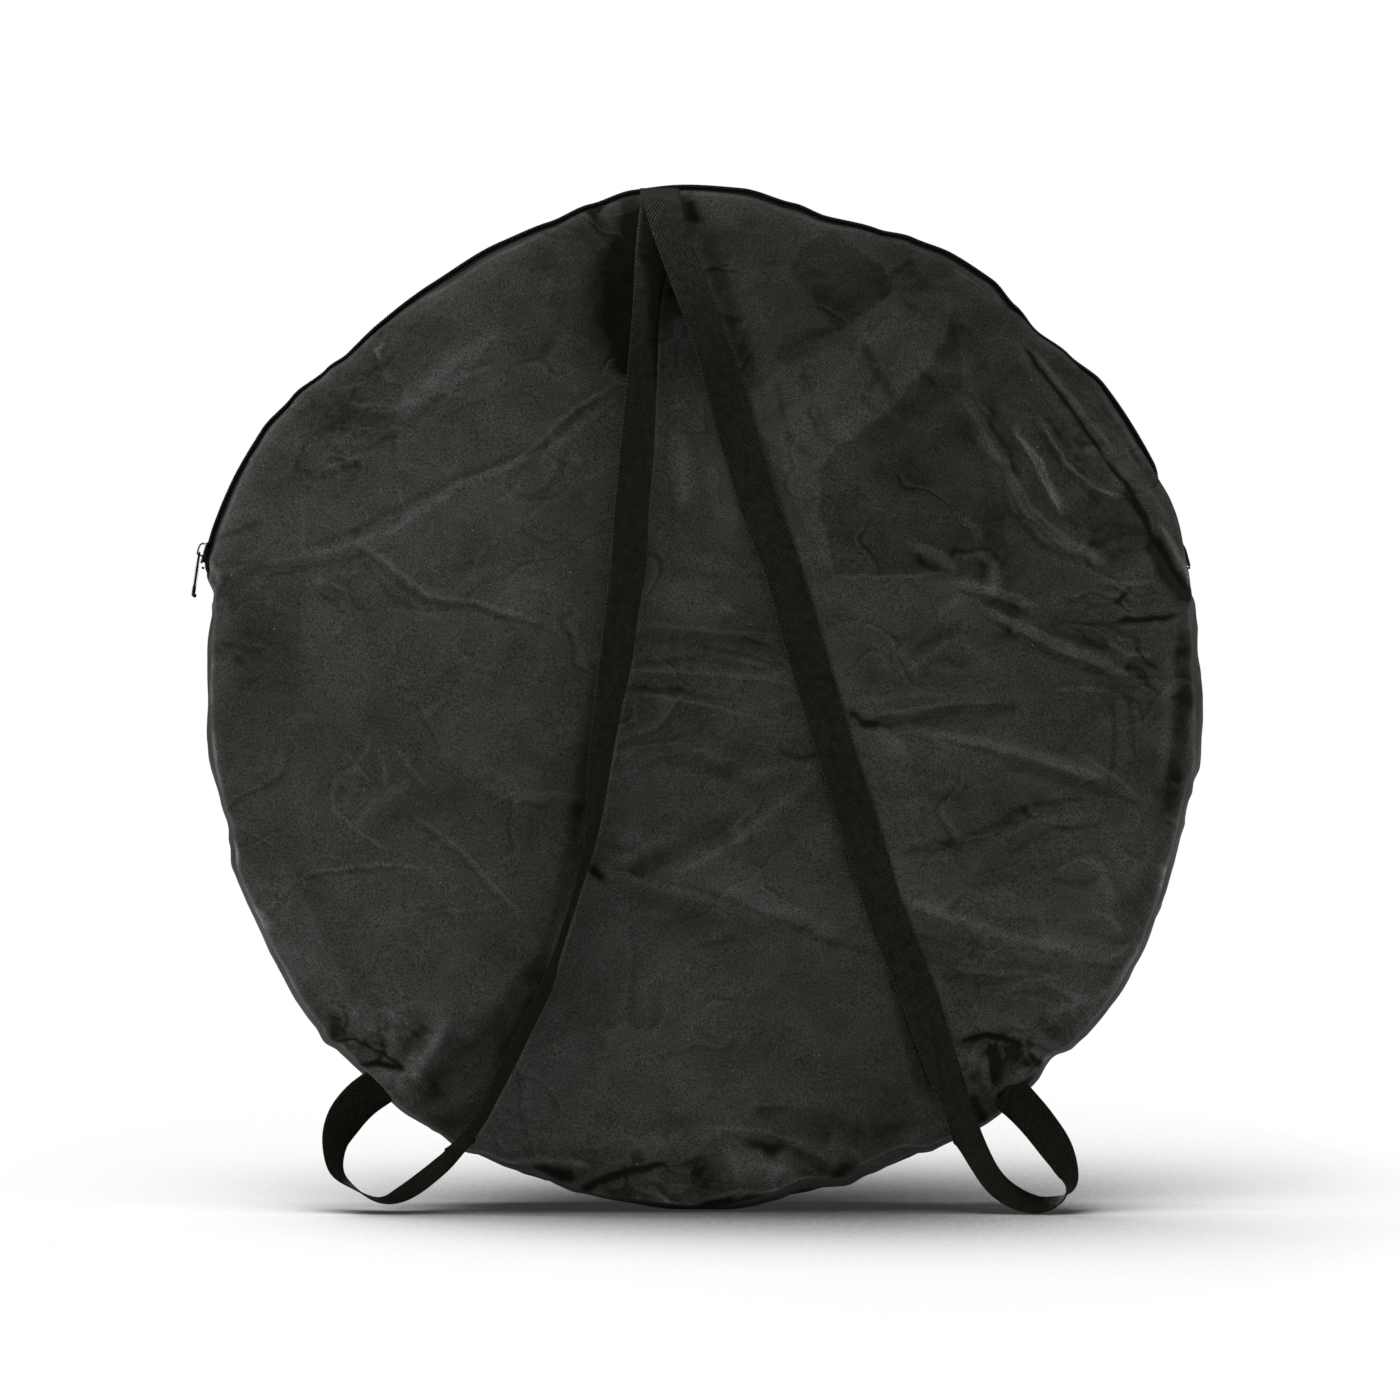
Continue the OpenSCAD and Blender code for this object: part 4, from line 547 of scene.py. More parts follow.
def front_map():
    """Heights of the front panel's folds above its smooth crown, in metres, and its tones with their
    painted light and shade.
    """
    x, z = grid_x, grid_z
    edge = np.clip((np.hypot(x, z - HUB) - 0.30) / 0.17, 0, 1)
    high = np.zeros(x.shape)
    wide = 4.0 * noise(x, z, 0.17, 3) + 2.4 * noise(x, z, 0.08, 5, 1.6, 35)
    for height, width, step, sharp, *path in FRONT_FOLDS:
        w = window(path, 0.006 * width)
        height *= 1.0 if abs(height) > 3.2 else 0.7
        high[w] += fold(x[w], z[w], path, height, width, 0.8 * step, sharp)
    high += (0.7 + 0.9 * edge) * crumple(x, z, 0.06, 11, 2.2, 20)
    high += (0.28 + 0.4 * edge) * crumple(x, z, 0.026, 21, 1.8, -30)
    high += (0.10 + 0.10 * edge) * crumple(x, z, 0.012, 25, 2.0, 15)
    tone, lines = np.zeros(x.shape), np.zeros(x.shape)
    # painted shade and painted highlight along the listed lines
    for width, change, *path in SHADE_AND_HIGHLIGHT_LINES:
        w = window(path, 0.004 * width)
        wx = x[w] + 0.0014 * noise(x[w], z[w], 0.009, 7)
        wz = z[w] + 0.0014 * noise(x[w], z[w], 0.009, 9)
        d, share = along(wx, wz, px(path))
        fade = np.clip(np.minimum(share, 1 - share) * 5 + 0.25, 0, 1)
        line = change * (1.1 + 1.8 / width) * fade * np.exp(-np.power(np.abs(d) / (0.00085 * width), 2.0))
        if abs(change) < 0.3:
            lines[w] += line
        else:
            tone[w] += line
    tone += np.clip(lines, -0.16, 0.28)
    # patches of painted sheen and painted shade
    for soft, change, *outline in SHADE_AND_SHEEN_PATCHES:
        w = window(outline, 0.001 * soft + 0.006)
        wx = x[w] + 0.0022 * noise(x[w], z[w], 0.014, 17) + 0.001 * noise(x[w], z[w], 0.004, 18)
        wz = z[w] + 0.0022 * noise(x[w], z[w], 0.014, 27) + 0.001 * noise(x[w], z[w], 0.004, 28)
        t = np.clip(patch(wx, wz, outline) / (0.65 * soft) + 0.5, 0, 1)
        tone[w] += 1.2 * change * t * t * (3 - 2 * t)
    for middle, size, turn, change in CREASED:
        (cx, cz), = px(middle)
        w = window(middle, 2 * size)
        wx, wz = x[w], z[w]
        near = change * np.clip(1.1 * mound(wx, wz, cx, cz, size, size) - 0.05, 0, 1)
        # painted highlight and painted shade along many small creases, besides their real crumple below
        tone[w] += near * painted_ridges(wx, wz, 0.022, 501, 2.6, turn)
        tone[w] += near * 0.8 * painted_ridges(wx, wz, 0.012, 511, 2.2, turn + 12)
        high[w] += 2.0 * near * crumple(wx, wz, 0.016, 521, 2.4, turn)
    # painted light and shade of the cloth's facets and of hair-thin folds
    tone += 0.050 * facet_shading(x, z, 0.075, 201, 1.8, 32) + 0.050 * facet_shading(x, z, 0.032, 211, 2.2, -24)
    tone += 0.035 * facet_shading(x, z, 0.016, 215, 2.4, 35) + painted_crinkles(x, z, 0.05, 241, 2.6, 28)
    tone += painted_crinkles(x, z, 0.034, 251, 2.2, -20) + 0.7 * painted_crinkles(x, z, 0.07, 261, 1.5, 75)
    # painted light and shade: darker to the right, between the straps and at the top right, paler at the
    # lower right and left
    tone -= 0.08 * np.clip(x / 0.4, -1, 1) + 0.14 * mound(x, z, 0, 0.52, 0.16, 0.2)
    tone -= 0.12 * np.clip((z - 0.78) / 0.1, 0, 1) * np.clip(x / 0.1 + 0.7, 0, 1)
    tone -= 0.05 * np.clip((z - 0.5) / 0.1, 0, 1) * np.clip(x / 0.2, 0, 1)
    tone += 0.07 * mound(x, z, 0.30, 0.27, 0.14, 0.12) + 0.05 * mound(x, z, -0.28, 0.60, 0.16, 0.2)
    tone += 0.022 * noise(x, z, 0.0032, 221, 7.0, -4) + 0.030 * noise(x, z, 0.006, 231, 1.6, 30)
    # painted shade in the hollows of the folds and painted highlight on their crests
    bend, raised = relief(high)
    tone += np.clip(0.05 * raised, -0.10, 0.07) - np.clip(0.5 * bend, -0.14, 0.10)
    return (high + wide) / 1000, np.clip(1 + 2.0 * tone, 0.05, 2.6)


def back_map():
    """The same for the back panel, which has no folds of its own."""
    x, z = grid_x, grid_z
    edge = np.clip((np.hypot(x, z - HUB) - 0.25) / 0.22, 0, 1)
    high = (0.6 + 1.1 * edge) * crumple(x, z, 0.085, 51, 2.6, 60)
    high += (0.25 + 0.4 * edge) * crumple(x, z, 0.032, 61, 1.8, 10)
    high += (0.08 + 0.10 * edge) * crumple(x, z, 0.013, 65, 2.0, -20)
    wide = 3.0 * noise(x, z, 0.2, 43) + 1.6 * noise(x, z, 0.09, 45, 1.8, -40)
    # painted light and shade of the cloth's facets and of hair-thin folds
    tone = 0.055 * facet_shading(x, z, 0.08, 301, 2.0, 50) + 0.05 * facet_shading(x, z, 0.03, 311, 2.2, 10)
    tone += 1.3 * painted_crinkles(x, z, 0.05, 341, 2.6, -28) + painted_crinkles(x, z, 0.034, 351, 2.2, 20)
    tone += painted_crinkles(x, z, 0.08, 361, 1.5, 75)
    tone += 0.022 * noise(x, z, 0.0032, 321, 7.0, 3) + 0.030 * noise(x, z, 0.006, 331, 1.6, 60)
    # painted shade in the hollows of the folds and painted highlight on their crests
    bend, raised = relief(high)
    tone += np.clip(0.06 * raised, -0.22, 0.1) - np.clip(0.55 * bend, -0.18, 0.22)
    # the net's hooks hold the cloth out
    return np.maximum(high + wide, -0.8) / 1000, np.clip(1 + 1.6 * tone, 0.2, 2.2)


front_heights, front_tones = front_map()
back_heights, back_tones = back_map()


def crown_height(share):
    """Distance of a panel from the middle plane, by the share of the way out to its seam."""
    flat = 1 - np.power(share, 2.6) * 0.30
    roll = np.sqrt(np.clip(1 - np.power(np.clip(share, 0, 1), 52), 0, 1))
    return SEAM_DEPTH + CROWN * flat * roll


def quads(rows, columns, closed=False):
    """Faces between rows of points; where closed, each row goes on round to its start."""
    i, j = np.meshgrid(np.arange(rows - 1), np.arange(columns if closed else columns - 1), indexing="ij")
    i, j = i.ravel(), j.ravel()
    k = (j + 1) % columns
    return np.stack([i * columns + j, i * columns + k, (i + 1) * columns + k, (i + 1) * columns + j], 1)


def disc_places(n):
    """An even n by n grid bent onto the unit disc, with its faces."""
    a, b = np.meshgrid(np.linspace(-1, 1, n + 1), np.linspace(-1, 1, n + 1), indexing="ij")
    wide = np.abs(a) > np.abs(b)
    safe_a, safe_b = np.where(a == 0, 1, a), np.where(b == 0, 1, b)
    rho = np.where(wide, np.abs(a), np.abs(b))
    phi = np.where(wide, np.pi / 4 * b / safe_a, np.pi / 2 - np.pi / 4 * a / safe_b)
    flip = np.where(wide, a < 0, b < 0)
    phi = phi + np.where(flip, np.pi, 0)
    phi = np.where((a == 0) & (b == 0), 0, phi)
    return rho.ravel(), phi.ravel(), quads(n + 1, n + 1)[:, [0, 3, 2, 1]]


def mesh_piece(name, verts, faces, material, uv=None, tone=None):
    """A smooth piece, with places for its weave and its painted shading and mottle where they are given."""
    mesh = bpy.data.meshes.new(name)
    mesh.from_pydata(np.asarray(verts).tolist(), [], faces if isinstance(faces, list) else faces.tolist())
    mesh.validate()
    for p in mesh.polygons:
        p.use_smooth = True
    if uv is not None:
        layer = mesh.uv_layers.new(name="cloth")
        loops = np.empty(len(mesh.loops), dtype=np.int32)
        mesh.loops.foreach_get("vertex_index", loops)
        layer.data.foreach_set("uv", np.asarray(uv, np.float32)[loops].ravel())
    if tone is not None:
        shading_and_mottle = mesh.attributes.new("shading_and_mottle", "FLOAT", "POINT")
        shading_and_mottle.data.foreach_set("value", np.asarray(tone, np.float32))
    mesh.materials.append(material)
    piece = bpy.data.objects.new(name, mesh)
    bpy.context.scene.collection.objects.link(piece)
    return piece


# ------------------------------------------------------------------ cloth
# Plain-weave polyester with a waxy coating on it: nearly black, faintly mottled, with the odd
# thread of lint, and with painted shade and painted highlights along its folds and facets.


def adder(tree):
    """A maker of nodes in a tree; their inputs may be values or other nodes' sockets."""
    def add(kind, inputs=(), **settings):
        node = tree.nodes.new(kind)
        for key, value in settings.items():
            setattr(node, key, value)
        for socket, value in dict(inputs).items():
            if isinstance(value, bpy.types.NodeSocket):
                tree.links.new(value, node.inputs[socket])
            else:
                node.inputs[socket].default_value = value
        return node
    return add


def shader(name, base, roughness, specular=0.5):
    """A new material with its shader, a node maker and a linker."""
    material = bpy.data.materials.new(name)
    material.use_nodes = True
    tree = material.node_tree
    bsdf = tree.nodes["Principled BSDF"]
    bsdf.inputs["Base Color"].default_value = (*base, 1)
    bsdf.inputs["Roughness"].default_value = roughness
    bsdf.inputs["Specular IOR Level"].default_value = specular
    return material, bsdf, adder(tree), tree.links.new


def object_place(add):
    """Where a point lies on its own object."""
    return add("ShaderNodeTexCoord").outputs["Object"]


def speckle(add, place, scale, detail, **more):
    """Noise from 0 to 1 at a scale; more of its inputs may be given by name."""
    inputs = {"Vector": place, "Scale": scale, "Detail": detail, **more}
    return add("ShaderNodeTexNoise", inputs).outputs["Fac"]


def number(add, operation, *values):
    """An operation on single values."""
    return add("ShaderNodeMath", dict(enumerate(values)), operation=operation).outputs[0]


def vectors(add, operation, *values):
    """An operation on colours or directions."""
    return add("ShaderNodeVectorMath", dict(enumerate(values)), operation=operation).outputs[0]


def ranged(add, value, low, high, to_low=0.0, to_high=1.0, steps="LINEAR"):
    """A value moved from one range to another and held inside it."""
    return add("ShaderNodeMapRange", {"Value": value, "From Min": low, "From Max": high,
                                      "To Min": to_low, "To Max": to_high},
               interpolation_type=steps).outputs["Result"]


def tones(add, value, low, high, start=0.3, end=0.7):
    """A colour from low to high as the value goes from start to end."""
    ramp = add("ShaderNodeValToRGB", {"Fac": value})
    ramp.color_ramp.elements[0].position = start
    ramp.color_ramp.elements[1].position = end
    ramp.color_ramp.elements[0].color = (*low, 1)
    ramp.color_ramp.elements[1].color = (*high, 1)
    return ramp.outputs["Color"]


def rough_surface(add, link, bsdf, height, strength, depth):
    """Bumps that follow a height from 0 to 1, as deep as depth in metres."""
    bump = add("ShaderNodeBump", {"Strength": strength, "Distance": depth, "Height": height})
    link(bump.outputs["Normal"], bsdf.inputs["Normal"])


def coated_cloth(name, light, dark):
    """The cloth in its palest and darkest wax."""
    material, bsdf, add, link = shader(name, light, 0.6, 0.08)
    place = object_place(add)
    mottle = speckle(add, place, 11, 6, Roughness=0.65, Distortion=0.8)
    tone = tones(add, mottle, dark, light, 0.34, 0.68)
    # the painted light and shade of the folds and facets, with random mottle, as the mesh holds it
    shading_and_mottle = add("ShaderNodeAttribute", attribute_name="shading_and_mottle")
    uneven = vectors(add, "MULTIPLY", tone, shading_and_mottle.outputs["Fac"])
    # the grain of the weave under the coating
    grain = speckle(add, place, 640, 3, Roughness=0.7)
    grainy = vectors(add, "MULTIPLY", uneven, tones(add, grain, (0.16, 0.16, 0.14), (1.92, 1.92, 1.96)))
    # the wax is olive, which shows most where the cloth is darkest
    waxed = vectors(add, "ADD", grainy, (-0.0001, 0.0001, -0.0030))
    cloth = vectors(add, "MAXIMUM", waxed, (0, 0, 0))
    # lint caught in the weave here and there
    flecks = add("ShaderNodeTexVoronoi", {"Vector": place, "Scale": 60, "Randomness": 1.0})
    lint = number(add, "LESS_THAN", flecks.outputs["Distance"], 0.05)
    few = number(add, "GREATER_THAN", speckle(add, place, 21, 0), 0.64)
    faint = number(add, "MULTIPLY", number(add, "MULTIPLY", lint, few), 0.4)
    colour = add("ShaderNodeMix", {"Factor": faint, "A": cloth, "B": (0.2, 0.2, 0.19, 1)}, data_type="RGBA")
    link(colour.outputs[2], bsdf.inputs["Base Color"])
    link(ranged(add, mottle, 0.3, 0.7, 0.52, 0.68), bsdf.inputs["Roughness"])
    ripple = speckle(add, place, 110, 5, Roughness=0.6, Distortion=1.0)
    soft = add("ShaderNodeBump", {"Strength": 0.3, "Distance": 0.0010, "Height": ripple})
    fine = add("ShaderNodeBump", {"Strength": 0.3, "Distance": 0.00025, "Height": grain,
                                  "Normal": soft.outputs["Normal"]})
    link(fine.outputs["Normal"], bsdf.inputs["Normal"])
    return material


panel_cloth = coated_cloth("panel cloth", (0.0264, 0.0266, 0.0264), (0.0203, 0.0205, 0.0203))
# the gusset's cloth is the panels' cloth painted darker, as painted shade for where it lies
shaded_gusset_cloth = coated_cloth("shaded gusset cloth", (0.0230, 0.0232, 0.0230), (0.0170, 0.0172, 0.0170))


# ------------------------------------------------------------------ panels
# Two discs of the cloth. The front one carries the straps and all the folds that their anchors
# pull in; its edge rolls back into the seam.


def front_y(x, z):
    """The front panel's own surface, as a place along Y."""
    theta = np.arctan2(z - HUB, x)
    share = np.clip(np.hypot(x, z - HUB) / seam_radius(theta), 0, 1)
    ease = np.clip((1 - share) * 26, 0, 1)
    return -(crown_height(share) + read_map(front_heights, x, z) * (0.25 + 0.75 * ease))


def make_panel(name, heights, shading_and_mottle, side, node, cuts):
    """A panel of cuts by cuts faces, in front where side is -1."""
    rho, phi, faces = disc_places(cuts)
    radius = rho * (seam_radius(phi) if side < 0 else rim_radius(phi) - BACK_DROP)
    x, z = radius * np.cos(phi), HUB + radius * np.sin(phi)
    ease = np.clip((1 - rho) * 26, 0, 1)
    folds = read_map(heights, x, z) * (0.25 + 0.75 * ease)
    y = side * (crown_height(rho) + np.where(rho >= 1, 0, folds))
    # a painted highlight along the turned edge at the seam
    tone = read_map(shading_and_mottle, x, z) * (1 + 0.9 * np.exp(-np.square((rho - 0.9955) / 0.0028)))
    faces = faces if side > 0 else faces[:, ::-1]
    piece = mesh_piece(name, np.stack([x, y, z], 1), faces, panel_cloth, tone=tone)
    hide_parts(node)
    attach(piece, "bag")


make_panel("front_cloth", front_heights, front_tones, -1, "front_panel", 680)
make_panel("back_cloth", back_heights, back_tones, 1, "back_panel", 340)


# ------------------------------------------------------------------ gusset
# A long strip of the same cloth joins the discs. Below the zip it is one piece; above, two narrow
# strips run beside the zip.

# The zip's ends, the radius on which it was laid out, and how far its tapes show and reach
ZIP_RIGHT, ZIP_LEFT, ZIP_RADIUS = math.radians(15), math.radians(165), 0.488
TAPE_EDGE, TAPE_REACH = 0.0132, 0.018
# Millimetres by degrees: near its right end the chain sinks between the seams
ZIP_DIP = [(0, 0), (17, 0), (19.5, 5), (21, 7.4), (23.6, 7.4), (27.5, 0), (359, 0)]
# Radius at which the slack cloth beside the foot lies on the rim and its net hooks
HELD_RADIUS = 0.4838


def smooth(t):
    """0 to 1 with soft ends."""
    t = np.clip(t, 0, 1)
    return t * t * (3 - 2 * t)


def zip_dip(theta):
    """How far the chain dips at an angle in radians, in metres."""
    return eased(np.degrees(theta), ZIP_DIP, 360) / 1000


def zip_sink(theta):
    """How far the cloth beside the chain lies inside the outermost line, up to just past its ends."""
    past = np.maximum(ZIP_RIGHT - theta, theta - ZIP_LEFT)
    past = np.where(theta > 1.5 * math.pi, ZIP_RIGHT + 2 * math.pi - theta, past)
    return 0.0062 * smooth(1.6 - past / 0.045) + zip_dip(theta)


def gusset_radius(theta, across):
    """Radius of the gusset, across from -1 at the front seam to 1 at the back seam."""
    front_drop = rim_radius(theta) - seam_radius(theta)
    drop = np.where(across < 0, front_drop, BACK_DROP)
    sink = zip_sink(theta)
    radius = rim_radius(theta) - sink - (drop - sink) * np.power(np.abs(across), 2.4)
    turn = np.degrees(theta)
    held = smooth((turn - 234) / 5) * smooth((304 - turn) / 5)
    held = held * smooth((across - 0.35) / 0.3) * smooth((1 - across) / 0.14)
    return radius + held * np.maximum(HELD_RADIUS - radius, 0)


def gusset_creases(theta, across):
    """Heights of the gusset's creases in metres; they die out at its seams."""
    u, v = theta * 0.48, across * 0.05
    swell = 1 - np.power(np.abs(across), 6)
    return swell * (1.3 * crumple(u, v, 0.05, 81, 1.5, 80) + 0.6 * crumple(u, v, 0.021, 91, 1.6, 70)) / 1000


def strip(name, start, end, edges, steps, cuts, material, lift=0.0, creased=1.0, rise=0.0):
    """A strip round the bag's edge between two places across, which rises towards the middle plane."""
    theta, across = np.meshgrid(np.linspace(start, end, steps + 1), np.linspace(*sorted(edges), cuts + 1),
                                indexing="ij")
    share = across / SEAM_DEPTH
    settle = 1 - np.clip(np.abs(share), 0, 1) ** 8
    radius = gusset_radius(theta, share) - lift + creased * gusset_creases(theta, share) * settle
    radius += rise * (1 - np.abs(across) / TAPE_REACH)
    x, z = radius * np.cos(theta), HUB + radius * np.sin(theta)
    # pressed flat on the floor
    z = np.maximum(z, 0.0003 - lift)
    run = theta * ZIP_RADIUS
    # painted light and shade on its facets, and random mottle
    tone = 1 + 0.10 * facet_shading(run, across, 0.04, 401, 1.5, 80) + 0.06 * noise(run, across, 0.006, 403)
    verts, uv = np.stack([x, across, z], -1).reshape(-1, 3), np.stack([run, across], -1).reshape(-1, 2)
    return mesh_piece(name, verts, quads(steps + 1, cuts + 1), material, uv, tone.ravel())


piece = strip("lower_gusset_cloth", ZIP_LEFT, ZIP_RIGHT + 2 * math.pi, (-SEAM_DEPTH, SEAM_DEPTH),
              760, 34, shaded_gusset_cloth)
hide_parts("lower_gusset")
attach(piece, "bag")

for side, name in ((-1, "front"), (1, "back")):
    piece = strip(f"upper_gusset_{name}_cloth", ZIP_RIGHT, ZIP_LEFT, (side * TAPE_EDGE, side * SEAM_DEPTH),
                  560, 12, shaded_gusset_cloth, creased=0.5)
    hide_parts(f"upper_gusset_{name}")
    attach(piece, "bag")


# ------------------------------------------------------------------ zip
# A black coil zip runs over the top of the bag. Two rows of bent nylon wire are sewn on woven
# tapes, and the slider with its long pull stands at the left end.

# The wire's pitch, radius, swing up and down, and how far its middle lies under the outermost line
TOOTH_PITCH, WIRE, COIL_RISE, COIL_SINK = 0.0026, 0.00075, 0.0016, 0.0016
# The tapes' inner edges stand a little apart and high, close under the coils
TAPE_GAP, TAPE_LIFT, TAPE_RISE = 0.0008, 0.0008, 0.0039

tape_material, bsdf, add, link = shader("zip tape", (0.005, 0.005, 0.0045), 0.8, 0.03)
place = add("ShaderNodeTexCoord").outputs["UV"]
twill = add("ShaderNodeTexWave", {"Vector": place, "Scale": 60, "Distortion": 0.3},
            bands_direction="DIAGONAL").outputs["Fac"]
woven = tones(add, twill, (0.0025, 0.0025, 0.0025), (0.007, 0.007, 0.0065), 0.2, 0.8)
link(woven, bsdf.inputs["Base Color"])
rough_surface(add, link, bsdf, twill, 0.5, 0.0002)

for side, name in ((-1, "front"), (1, "back")):
    piece = strip(f"zip_tape_{name}_woven", ZIP_RIGHT, ZIP_LEFT, (side * TAPE_GAP, side * TAPE_REACH),
                  400, 8, tape_material, TAPE_LIFT, 0, TAPE_RISE)
    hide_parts(f"zip_tape_{name}")
    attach(piece, "bag")

coil_material, bsdf, add, link = shader("zip coil", (0.004, 0.004, 0.0036), 0.5, 0.16)
uneven = speckle(add, object_place(add), 900, 2)
wire_tones = tones(add, uneven, (0.0015, 0.0015, 0.0014), (0.006, 0.006, 0.0055), 0.35, 0.7)
link(wire_tones, bsdf.inputs["Base Color"])


def unit(rows):
    """Each row at length 1."""
    return rows / np.linalg.norm(rows, axis=1)[:, None]


def make_coil(name, side, node):
    """A flattened coil of wire; the loops of the two rows reach past each other at the middle."""
    start, end = ZIP_RIGHT + 0.0055, ZIP_LEFT + 0.034
    turns = int((end - start) * ZIP_RADIUS / TOOTH_PITCH)
    per_turn, ring = 10, 5
    t = np.arange(turns * per_turn + 1) / per_turn
    phase = 2 * np.pi * t
    theta = start + (end - start) * (t + (0.5 if side > 0 else 0)) / (turns + 1)
    across = side * (0.0013 - 0.0019 * np.cos(phase))
    up = rim_radius(theta) - zip_dip(theta) - COIL_SINK + COIL_RISE * np.sin(phase)
    # its free end at the left lies down in the cloth's hollow
    up -= 0.0022 * smooth((theta - ZIP_LEFT) / 0.012 + 0.3)
    out = np.stack([np.cos(theta), np.zeros_like(theta), np.sin(theta)], 1)
    centre = np.stack([up * out[:, 0], across, HUB + up * out[:, 2]], 1)
    tangent = unit(np.gradient(centre, axis=0))
    b = unit(np.cross(tangent, out))
    n = np.cross(b, tangent)
    turn = 2 * np.pi * np.arange(ring)[:, None] / ring
    verts = centre[:, None] + WIRE * (np.cos(turn) * b[:, None] + np.sin(turn) * n[:, None])
    piece = mesh_piece(name, verts.reshape(-1, 3), quads(len(t), ring, True), coil_material)
    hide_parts(node)
    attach(piece, "bag")


make_coil("zip_coil_front", -1, "zip_teeth_front")
make_coil("zip_coil_back", 1, "zip_teeth_back")


def paint(names, material):
    """Pieces of the frame that keep their own shape get this finish."""
    for name in names:
        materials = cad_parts[name].data.materials
        materials.clear()
        materials.append(material)


enamel, bsdf, add, link = shader("black enamel", (0.002, 0.002, 0.002), 0.5, 0.12)
cast = speckle(add, object_place(add), 700, 3)
link(tones(add, cast, (0.001, 0.001, 0.001), (0.004, 0.004, 0.004), 0.35, 0.75), bsdf.inputs["Base Color"])
rough_surface(add, link, bsdf, cast, 0.2, 0.0002)
paint(["zip_end_stops"], enamel)

# slider and pull are dipped, so the enamel lies a little thick on them, and the pull ends in a bead
BEAD = 0.0012
for name, part, body, coat_depth in (("dipped_slider", "zip_slider", "slider", 0.0005),
                                     ("dipped_pull", "zip_pull", "pull", 0.0007)):
    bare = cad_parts[part]
    piece = bpy.data.objects.new(name, bare.data.copy())
    piece.matrix_world = bare.matrix_world.copy()
    bpy.context.scene.collection.objects.link(piece)
    piece.data.materials.clear()
    piece.data.materials.append(enamel)
    if part == "zip_pull":
        tip = min((v.co for v in piece.data.vertices), key=lambda co: (piece.matrix_world @ co).z)
        bead = bmesh.new()
        bead.from_mesh(piece.data)
        bmesh.ops.create_uvsphere(bead, u_segments=16, v_segments=12, radius=BEAD,
                                  matrix=Matrix.Translation(tip))
        bead.to_mesh(piece.data)
    coat = piece.modifiers.new("coat", "DISPLACE")
    coat.strength, coat.mid_level = coat_depth, 0
    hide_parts(part)
    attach(piece, body)


# ------------------------------------------------------------------ straps
# Two lengths of ribbed polypropylene webbing are sewn into the top seam and into the lower seam.
# They lie slackly down the front, half turned on edge, and end in loops beside the foot.

STRAP_W, STRAP_T = 0.038, 0.0016
# Stations of the webbing's middle line: its place in steps, its tilt in degrees and how far it
# stands off the cloth in millimetres
LEFT_STRAP = [
    (660, 189, 16, 0.3), (659.5, 208, 14, 0.3), (657.5, 226, 14, 0), (654.5, 246, 22, 0), (650, 275, 40, 0),
    (645.8, 318, 48, 0), (642, 380, 41, 0), (637, 450, 31, 0), (632, 505, 30, 0), (628.8, 560, 24, 0),
    (621.8, 610, 32, 0), (616.5, 653, 34, 0), (608, 704, 46, 0), (600.5, 758, 55, 0),
    (595.8, 804, 65, 0), (590, 841, 74, 0), (583, 867, 76, 0), (574.7, 896, 80, 0), (566, 923, 79, 0),
    (557.5, 950, 78, 0), (546.8, 982, 71, 0), (531.5, 1014, 70, 0), (513, 1051, 68, 0),
    (494.7, 1087, 69, 0), (481, 1114, 70, 0), (459, 1143, 66, 0), (439, 1164, 60, 0),
    (406, 1188.5, 61, 0), (379.5, 1196, 77, -1), (352, 1182, 90, -4), (337, 1165.5, 109, -5),
    (336, 1138, 131, -5), (345.5, 1116.5, 158, -4), (361, 1098, 170, -4), (381, 1083, 175, -4)]
RIGHT_STRAP = [
    (659.5, 188.5, 18, 2.4), (668.7, 226, 31, 6), (687.5, 278, 31, 4), (706.7, 329, 34, 2),
    (723, 380, 18, 0.5), (737.5, 431, 0, 0), (760.5, 507, 0, 0), (782, 566, 18, 0),
    (804, 643, 10, 0), (822, 704, 8, 0),
    (838, 757, 18, 0), (857, 816, 3, 0), (878.7, 890, 16, 0), (891, 924, 14, 0), (918, 993, 20, 0),
    (938.5, 1054, 30, 0), (954.5, 1097, 41, 0), (966, 1129, 45, 0), (981.5, 1160, 53, 0),
    (995.5, 1180, 56, 0), (1014.5, 1194, 60, 0), (1036, 1200.5, 68, 0), (1055, 1197, 80, -2),
    (1065, 1190, 95, -3), (1068, 1178, 115, -4), (1063, 1161, 131, -5), (1053, 1142, 146, -5),
    (1036, 1119, 152, -4), (1018, 1099, 158, -4), (1005, 1086, 165, -4)]

# Pitch of the ribs, and length of the end that is turned under
RIB, TURNED_END = 0.0034, 0.0115
# The weave's places run from 0 along the webbing; across it, its middle is at WEB_MIDDLE and its
# selvedges begin SELVEDGE from there
WEB_MIDDLE, SELVEDGE = 0.02, 0.0181

web_material, bsdf, add, link = shader("webbing", (0.006, 0.0066, 0.0045), 0.75, 0.04)
run = add("ShaderNodeSeparateXYZ", {"Vector": add("ShaderNodeTexCoord").outputs["UV"]})
length, breadth = run.outputs["X"], run.outputs["Y"]


def wave(value, pitch):
    """A sine that repeats at a pitch."""
    return number(add, "SINE", number(add, "MULTIPLY", value, 2 * math.pi / pitch))


# plain weave of thick yarns: each stands up beside its neighbours' dips
level = ranged(add, number(add, "MULTIPLY", wave(length, RIB), wave(breadth, RIB)), -1, 1)
yarn = tones(add, level, (0.0006, 0.0006, 0.0006), (0.0135, 0.0141, 0.0128), 0.25, 0.75)
dust = speckle(add, object_place(add), 150, 5, Roughness=0.7)
grey = tones(add, dust, (0.55, 0.55, 0.55), (1.5, 1.5, 1.5), 0.32, 0.68)
dusty = vectors(add, "MULTIPLY", yarn, grey)
